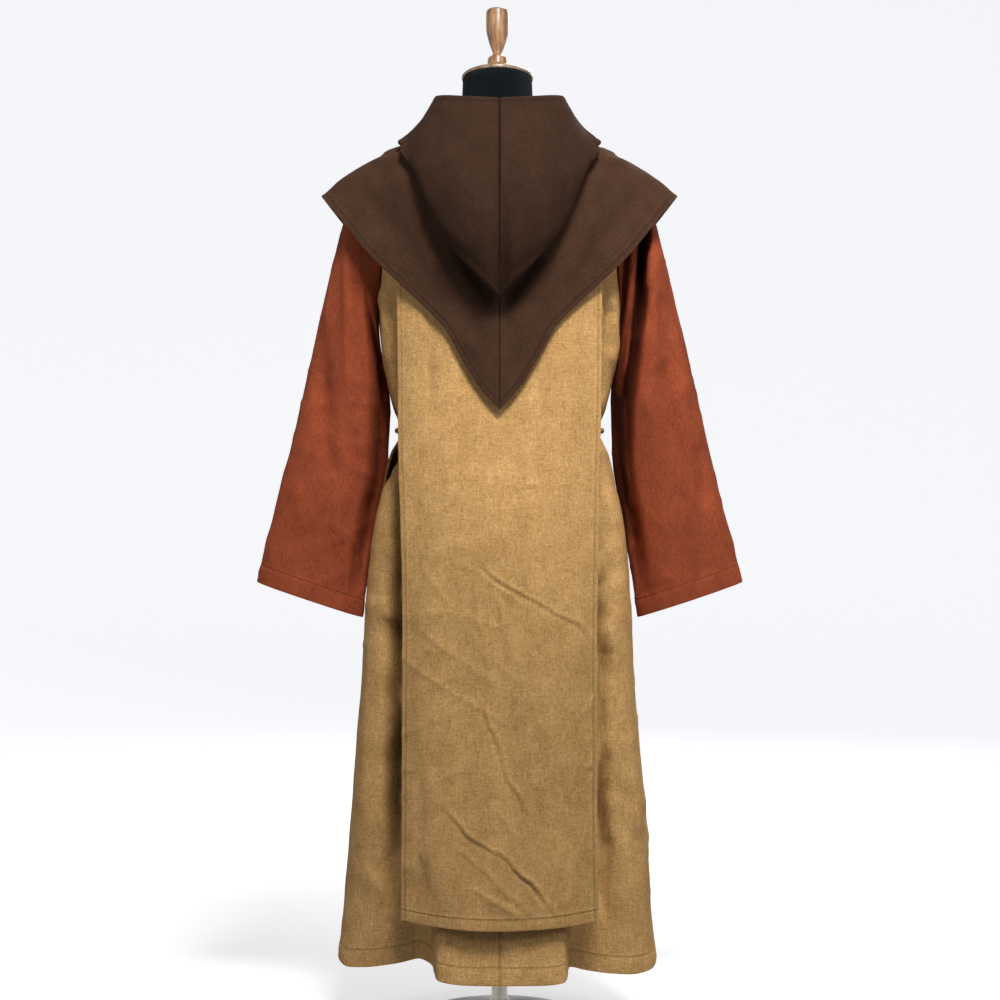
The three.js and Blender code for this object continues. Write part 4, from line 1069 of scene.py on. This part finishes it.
def painted_base(name):
    """Pale enamel on a turned foot, with fine grain and scuffs."""
    n = Nodes(name)
    grain = n.noise(n.solid, 900, 3)
    cloud = n.noise(n.solid, 24, 4)
    scuff = n.level(n.noise(n.solid, 160, 6, 0.7), 0.62, 0.7, 0, 0.5)
    tone = n.blend(n.level(cloud, 0.3, 0.7, 0, 1), linear(200, 201, 193), linear(208, 209, 202))
    tone = n.blend(scuff, tone, linear(178, 178, 170))
    n.set(Base_Color=tone, Roughness=n.level(n.plus(cloud, scuff), 0.4, 1.0, 0.4, 0.6),
          Specular_IOR_Level=0.4, Normal=n.bump(grain, 0.0002, 0.4))
    return n.material


tan = wool("tan_wool", linear(146, 108, 60), linear(192, 150, 95), linear(222, 182, 128), 1.9, 0.62, 0.1)
rust = wool("rust_wool", linear(110, 50, 30), linear(147, 71, 45), linear(168, 88, 59), 1.7, 0.7, 0.06)
brown = wool("brown_wool", linear(50, 33, 24), linear(66, 45, 33), linear(81, 58, 43), 1.8, 0.75, 0.05)
WOOLS = {
    "tan_wool": (tan, thread("tan_thread", linear(150, 116, 74))),
    "rust_wool": (rust, thread("rust_thread", linear(104, 48, 30))),
    "brown_wool": (brown, thread("brown_thread", linear(52, 36, 28))),
}
cord_material, jersey_material = cord("belt_cord"), jersey("form_jersey")
finial_wood = wood("finial_wood", linear(58, 34, 17), linear(122, 84, 48), linear(168, 128, 82))
cap_wood = wood("cap_wood", linear(66, 48, 32), linear(112, 88, 62), linear(140, 122, 98))
steel_material, base_material = steel("satin_steel"), painted_base("pale_enamel")


# ---- The habit ---------------------------------------------------------------------------
def finish_piece(piece, node, material):
    piece.data.materials.append(material)
    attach(piece, "root")
    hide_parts(node)
    return piece


def sheet_of(parts, node, slot, lines):
    """Finish a piece of cloth with the stitches on the lines of its grid."""
    made, outer, face = parts
    material, sewing = WOOLS[slot]
    piece = finish_piece(made, node, material)
    sewn = finish_piece(stitches(made.name + "_stitches", lines(outer, face)), node, sewing)


# Creases: a line of points across and up, its height, width and, where it has one, sharpness.
TUNIC_BACK_CREASES = [
    ([(-174, 1220), (-176, 1100), (-171, 1010)], -12, 7),
    ([(-168, 1060), (-174, 900), (-173, 640), (-172, 400), (-176, 150)], -30, 12),
    ([(162, 790), (167, 600), (168, 330), (168, 130)], -24, 9),
    ([(168, 960), (176, 800), (178, 640)], -10, 11), ([(-188, 1220), (-186, 1060)], 6, 6),
    ([(172, 1220), (176, 1100), (170, 1000)], -12, 7), ([(187, 1220), (189, 1060)], 5, 6),
    ([(-206, 900), (-214, 760), (-216, 560)], 4, 11), ([(-205, 640), (-218, 420), (-222, 260)], 3, 12),
    ([(196, 900), (206, 700), (214, 500)], 3.5, 10), ([(188, 620), (200, 420), (214, 240)], -4, 12),
    ([(-232, 330), (-214, 250), (-190, 215)], 2.5, 8, 0.4),
    ([(226, 420), (236, 300), (238, 190)], 3, 10, 0.2), ([(-40, 170), (20, 160), (80, 176)], 1.5, 8, 0.3),
]
TUNIC_FRONT_CREASES = [
    ([(-250, 900), (-262, 640), (-270, 420)], -4, 12), ([(250, 880), (266, 610), (268, 380)], 4, 12),
    ([(-190, 560), (-196, 330)], 3.5, 12), ([(205, 500), (196, 260)], -3.5, 12),
    ([(-300, 430), (-262, 330), (-240, 220)], 3, 9, 0.4), ([(290, 520), (262, 400), (246, 300)], 3, 9, 0.4),
    ([(-200, 1200), (-205, 1090), (-196, 1010)], -4, 8), ([(204, 1190), (208, 1100), (198, 1005)], -4, 8),
]
SLEEVE_CREASES = {
    -1: (
        [
            ([(-250, 1330), (-252, 1190), (-250, 1020)], 3.5, 6),
            ([(-296, 1170), (-284, 1030), (-268, 860)], -9, 17),
            ([(-262, 1000), (-264, 860), (-262, 730)], 5, 15),
            ([(-226, 1040), (-226, 900), (-236, 760)], 4, 11), ([(-338, 900), (-320, 800)], 3, 12, 0.3),
            ([(-292, 830), (-244, 792), (-226, 770)], 2.4, 8, 0.6),
        ],
        [
            ([(-262, 1300), (-262, 1130), (-266, 960)], -10, 14),
            ([(-284, 1180), (-290, 1010), (-300, 850)], 6, 14),
            ([(-222, 1060), (-230, 900), (-240, 760)], -7, 12), ([(-330, 940), (-340, 800)], -4, 12),
            ([(-256, 900), (-290, 850), (-330, 826)], 3, 9, 0.5),
        ],
    ),
    1: (
        [
            ([(252, 1330), (250, 1190), (244, 1050), (240, 900)], 6, 12),
            ([(276, 1230), (276, 1060), (284, 900)], -6, 15), ([(296, 1100), (306, 930), (322, 800)], 4, 16),
            ([(236, 850), (262, 812), (300, 800)], 2.4, 8, 0.6), ([(330, 960), (340, 840)], -3.5, 12),
            ([(216, 860), (222, 780)], -6, 9),
        ],
        [
            ([(258, 1310), (256, 1150), (262, 980)], -10, 14),
            ([(280, 1200), (288, 1020), (304, 860)], 6, 13), ([(226, 1080), (230, 920), (244, 780)], -8, 12),
            ([(334, 960), (346, 810)], -4, 12), ([(250, 880), (286, 838), (336, 850)], 3, 9, 0.5),
        ],
    ),
}
SCAPULAR_CREASES = {
    0: [
        ([(-40, 770), (-16, 749), (23, 717), (73, 688), (127, 661), (147, 638), (152, 610)], 3.6, 5.5, 1),
        ([(22, 870), (38, 882), (80, 887)], 1.8, 5, 1),
        ([(-36, 556), (-18, 510), (1, 457), (14, 417), (43, 373), (60, 352)], 3.6, 5, 1),
        ([(-98, 392), (-82, 373), (-50, 340), (4, 309), (43, 265), (92, 205), (104, 186)], 4, 5.5, 1),
        ([(-86, 330), (-60, 312), (-30, 282), (8, 246), (60, 206)], 2, 6, 0.7),
        ([(-96, 524), (-78, 540), (-60, 553)], 2, 5, 0.7), ([(6, 560), (11, 512)], 1.6, 4, 0.6),
        ([(-42, 780), (-36, 717), (-27, 624), (-20, 560)], 2.4, 6, 0.4),
        ([(-120, 770), (-70, 790), (10, 770)], 1.2, 12),
        ([(112, 540), (122, 490), (137, 447), (151, 402)], 2.4, 5, 0.7),
        ([(90, 196), (117, 260), (132, 324), (148, 384)], 1.8, 6, 0.5),
        ([(-12, 380), (20, 345), (30, 300)], 1.8, 6, 0.6), ([(60, 520), (84, 470), (82, 410)], 1.6, 12, 0.2),
        ([(152, 560), (142, 535), (128, 522)], 2.4, 5, 0.8),
        ([(152, 470), (140, 440), (130, 436)], 2, 5, 0.8),
        ([(-124, 460), (-126, 330), (-120, 220)], -2.4, 9),
        ([(-108, 450), (-104, 320), (-106, 230)], 1.8, 9), ([(60, 1180), (64, 1090), (58, 1000)], -2, 10),
        ([(-108, 1200), (-112, 1090), (-104, 960)], -2.2, 9),
        ([(104, 1130), (112, 1020), (110, 900)], 2, 11), ([(-30, 240), (30, 218), (92, 222)], 1.4, 7, 0.4),
        ([(-90, 1030), (-60, 1020), (-20, 1026)], 1.2, 8, 0.4), ([(20, 640), (36, 560), (30, 480)], 1.8, 14),
        ([(66, 800), (78, 740), (80, 690)], 1.6, 7, 0.4),
        ([(112, 820), (124, 760), (128, 700)], 1.8, 7, 0.5), ([(-4, 700), (-2, 620), (6, 540)], -1.5, 9),
        ([(-60, 640), (-96, 618), (-130, 622)], 1.2, 7, 0.5),
    ],
    180: [
        ([(-150, 720), (-80, 690), (10, 640), (70, 560)], 4.2, 8, 1),
        ([(120, 840), (70, 800), (30, 740)], 2.8, 7, 0.8),
        ([(-90, 500), (-30, 450), (40, 372), (90, 330)], 4.6, 8, 1),
        ([(90, 620), (60, 520), (66, 420)], 3, 11, 0.2), ([(-110, 1060), (-104, 940)], -2.2, 10),
        ([(110, 1080), (100, 930)], 2, 11), ([(-60, 330), (-10, 300), (60, 290)], 2.2, 8, 0.5),
        ([(-151, 420), (-138, 396), (-120, 390)], 2.4, 5, 0.8),
        ([(151, 520), (136, 500), (126, 470)], 2.4, 5, 0.8),
        ([(-20, 1120), (0, 1080), (40, 1064)], 1.6, 8, 0.4),
    ],
}
CAPE_CREASES = (
    [
        ([(-150, 1330), (-118, 1262), (-84, 1196)], 4, 15),
        ([(158, 1330), (128, 1262), (92, 1200)], 4.5, 15),
        ([(-230, 1362), (-196, 1322), (-168, 1268)], -3, 16),
        ([(226, 1366), (200, 1320), (160, 1258)], -3, 14), ([(-60, 1130), (-30, 1075), (-12, 1040)], 1.6, 9),
        ([(62, 1140), (34, 1084), (12, 1044)], -1.6, 9),
    ],
    [
        ([(-110, 1370), (-96, 1290), (-66, 1200)], 4, 15), ([(110, 1370), (92, 1290), (70, 1196)], 4, 15),
        ([(-216, 1372), (-190, 1320)], -3, 14), ([(216, 1372), (190, 1320)], -3, 14),
    ],
)
HOOD_CREASES = (
    [
        ([(-150, 1430), (-128, 1370), (-96, 1300), (-44, 1236)], 4, 12),
        ([(152, 1430), (130, 1366), (94, 1296), (46, 1232)], 4.5, 12),
        ([(-90, 1490), (-104, 1440), (-110, 1390)], -3, 12),
        ([(88, 1490), (106, 1440), (112, 1380)], -3.5, 12),
        ([(-40, 1270), (-18, 1254), (-4, 1250)], -2.6, 5, 0.6),
        ([(-60, 1306), (-30, 1290), (-10, 1288)], -2, 7, 0.3),
        ([(8, 1330), (30, 1318), (56, 1322)], 1.8, 8, 0.3),
        ([(-30, 1496), (-60, 1492), (-84, 1496)], -1.2, 6, 0.5),
        ([(14, 1252), (30, 1262), (44, 1284)], -2.2, 6, 0.4), ([(-66, 1400), (-70, 1350)], 1.8, 14),
    ],
    [
        ([(-96, 1480), (-70, 1450), (-30, 1430)], 4, 9, 0.4),
        ([(96, 1480), (66, 1452), (28, 1430)], 4, 9, 0.4), ([(-60, 1440), (-30, 1424)], -2.5, 7, 0.2),
        ([(60, 1440), (30, 1424)], -2.5, 7, 0.2),
    ],
)


def one_row(index):
    return lambda outer, face: [row_line(outer, face, index)]


def cuff_ring(outer, face):
    """The stitch row of a cuff, closed to a ring."""
    line, facing = row_line(outer, face, CUFF_STITCH_ROW)
    return [(np.concatenate([line, line[:1]]), np.concatenate([facing, facing[:1]]))]


def scapular_lines(outer, face):
    sides = [column_line(outer, face, k, SCAPULAR_STITCH_ROW) for k in SCAPULAR_STITCH_COLUMNS]
    return [row_line(outer, face, SCAPULAR_STITCH_ROW)] + sides


for node, low, high, flat, creases in (
        ("tunic_back_left", -90, 0, (0.50, 1.42), TUNIC_BACK_CREASES),
        ("tunic_back_right", 0, 90, (0.50, 1.42), TUNIC_BACK_CREASES),
        ("tunic_front", 90, 270, (0.98, 1.42), TUNIC_FRONT_CREASES)):
    parts = tunic_panel(node + "_cloth", low, high, creases)
    sheet_of(parts, node, "tan_wool", one_row(TUNIC_STITCH_ROW))

for label, side in (("left", -1), ("right", 1)):
    node = "sleeve_" + label
    parts = sleeve_cloth(node + "_cloth", side, SLEEVE_CREASES[side])
    sheet_of(parts, node, "rust_wool", cuff_ring)

for node, middle, rests_on in (("scapular_back", 0, ["tunic_back_left", "tunic_back_right"]),
                               ("scapular_front", 180, ["tunic_front"])):
    parts = scapular_panel(node + "_cloth", middle, SCAPULAR_CREASES[middle])
    sheet_of(parts, node, "tan_wool", scapular_lines)

for label, side in (("left", -1), ("right", 1)):
    for node, make, creases, flat, rests_on in (
            ("cape_" + label, cape_half, CAPE_CREASES, (0.66, 0.56), ["scapular_front", "scapular_back"]),
            ("hood_" + label, hood_half, HOOD_CREASES, (0.46, 0.62), ["cape_" + label])):
        parts = make(node + "_cloth", side, creases)
        sheet_of(parts, node, "brown_wool", one_row(BROWN_STITCH_ROW))

finish_piece(belt_rope("belt_rope"), "belt", cord_material)

cover = finish_piece(form_cover("form_cover")[0], "dress_form", jersey_material)

FINIAL = [(0, 24), (0.6, 24.8), (3, 25), (5.5, 24.2), (8, 22), (11, 18.6), (14, 17), (17.5, 16.5), (21, 16.4),
          (24, 16), (27, 15.4), (29.5, 12.2), (32, 9.7), (34.5, 8.1), (37, 7.7), (42, 9.4), (48, 11.5),
          (54, 13.6), (61, 15.4), (67.5, 17.1), (74, 18.3), (83, 18.9), (92, 18.9), (101, 18.9), (107, 18.8),
          (109.6, 18.2), (111.2, 16.4), (112, 13.4), (112.4, 2)]
CAP = [(0, 57.5), (0.4, 58.6), (1, 59), (3, 59.2), (5, 59), (6.6, 57.6), (8, 55), (9.2, 51), (10, 46),
       (10.4, 26)]
tilted = (Matrix.Translation((NECK_OFFSET / 1000, float(axis_y(NECK_TOP)) / 1000, NECK_TOP / 1000))
          @ Matrix.Rotation(-math.radians(CAP_TILT), 4, "X"))
cap = turned("neck_cap_turned", CAP)
settle(cap, tilted @ Matrix.Translation((0, 0, SEAM / 1000)))
finish_piece(cap, "neck_cap", cap_wood)
finial = turned("finial_turned", FINIAL)
settle(finial, tilted @ Matrix.Translation((0, 0, (SEAM + CAP[-1][0] + SEAM) / 1000)))
finish_piece(finial, "finial", finial_wood)
foot = turned("stand_foot", [(0, 126), (1.5, 128), (10, 128), (12.5, 127.4), (14.6, 125.6), (15.8, 122.5),
                             (16, 116), (16, 40)], 96)
finish_piece(foot, "stand_base", base_material)
pole = turned("stand_tube", [(16.3, 23), (17, 24), (23, 24), (24.6, 23.2), (30, 19.4), (38, 15), (42, 14),
                             (44.5, 13.8), (46, 13), (FORM_BOTTOM - SEAM, 13)])
finish_piece(pole, "stand_pole", steel_material)

# ---- Floor, backdrop and light ----------------------------------------------------------------
bpy.ops.object.select_all(action="DESELECT")
bpy.ops.mesh.primitive_grid_add(x_subdivisions=72, y_subdivisions=40, size=1, location=(0, 0, 0))
cove = bpy.context.object
cove.name = "studio_cove"
# The flat grid becomes a round bowl: a floor, a bend and a wall, in metres.
COVE_FLOOR, COVE_BEND, COVE_RUN = 4.6, 1.9, 13
for vertex in cove.data.vertices:
    turn, run = vertex.co.x * 2 * math.pi, (vertex.co.y + 0.5) * COVE_RUN + 0.01
    bend = min(max(run - COVE_FLOOR, 0) / COVE_BEND, math.pi / 2)
    reach = min(run, COVE_FLOOR) + COVE_BEND * math.sin(bend)
    rise = COVE_BEND * (1 - math.cos(bend)) + max(0.0, run - COVE_FLOOR - COVE_BEND * math.pi / 2)
    vertex.co = (reach * math.sin(turn), reach * math.cos(turn), rise)
for polygon in cove.data.polygons:
    polygon.use_smooth = True
studio = Nodes("studio_paper")
x, y, _ = studio.split(studio.solid)
away = studio.math("SQRT", studio.plus(studio.times(x, x), studio.times(y, y)))
studio.set(Base_Color=linear(226, 226, 228), Roughness=0.95, Specular_IOR_Level=0.1,
           Emission_Color=(0.96, 0.97, 1, 1), Emission_Strength=studio.level(away, 0.8, 4.4, 0.32, 0.7))
cove.data.materials.append(studio.material)
cove.visible_diffuse = False

for name, place, target, size, power, color in (
        ("top", (0.35, -1.65, 3.15), (0, 0, 1.35), 0.7, 100, (1, 0.99, 0.965)),
        ("left", (-2.3, -2.2, 2.5), (0, 0, 1.3), 1.0, 19, (1, 0.99, 0.97)),
        ("right", (2.3, -2.3, 2.5), (0, 0, 1.3), 1.0, 26, (1, 0.99, 0.97)),
        ("front", (0.8, 2.6, 2.9), (0, 0, 1.0), 1.6, 85, (1, 0.99, 0.97))):
    lamp = bpy.data.lights.new(name, "AREA")
    lamp.shape, lamp.size, lamp.size_y, lamp.energy, lamp.color = "RECTANGLE", size, size, power, color
    holder = bpy.data.objects.new(name, lamp)
    holder.location = place
    holder.rotation_euler = (Vector(target) - Vector(place)).to_track_quat("-Z", "Y").to_euler()
    bpy.context.scene.collection.objects.link(holder)

world = bpy.data.worlds.new("studio")
world.use_nodes = True
background = world.node_tree.nodes["Background"].inputs
background[0].default_value = (0.96, 0.97, 1, 1)
background[1].default_value = 0.17
bpy.context.scene.world = world
bpy.context.scene.view_settings.view_transform = "Standard"

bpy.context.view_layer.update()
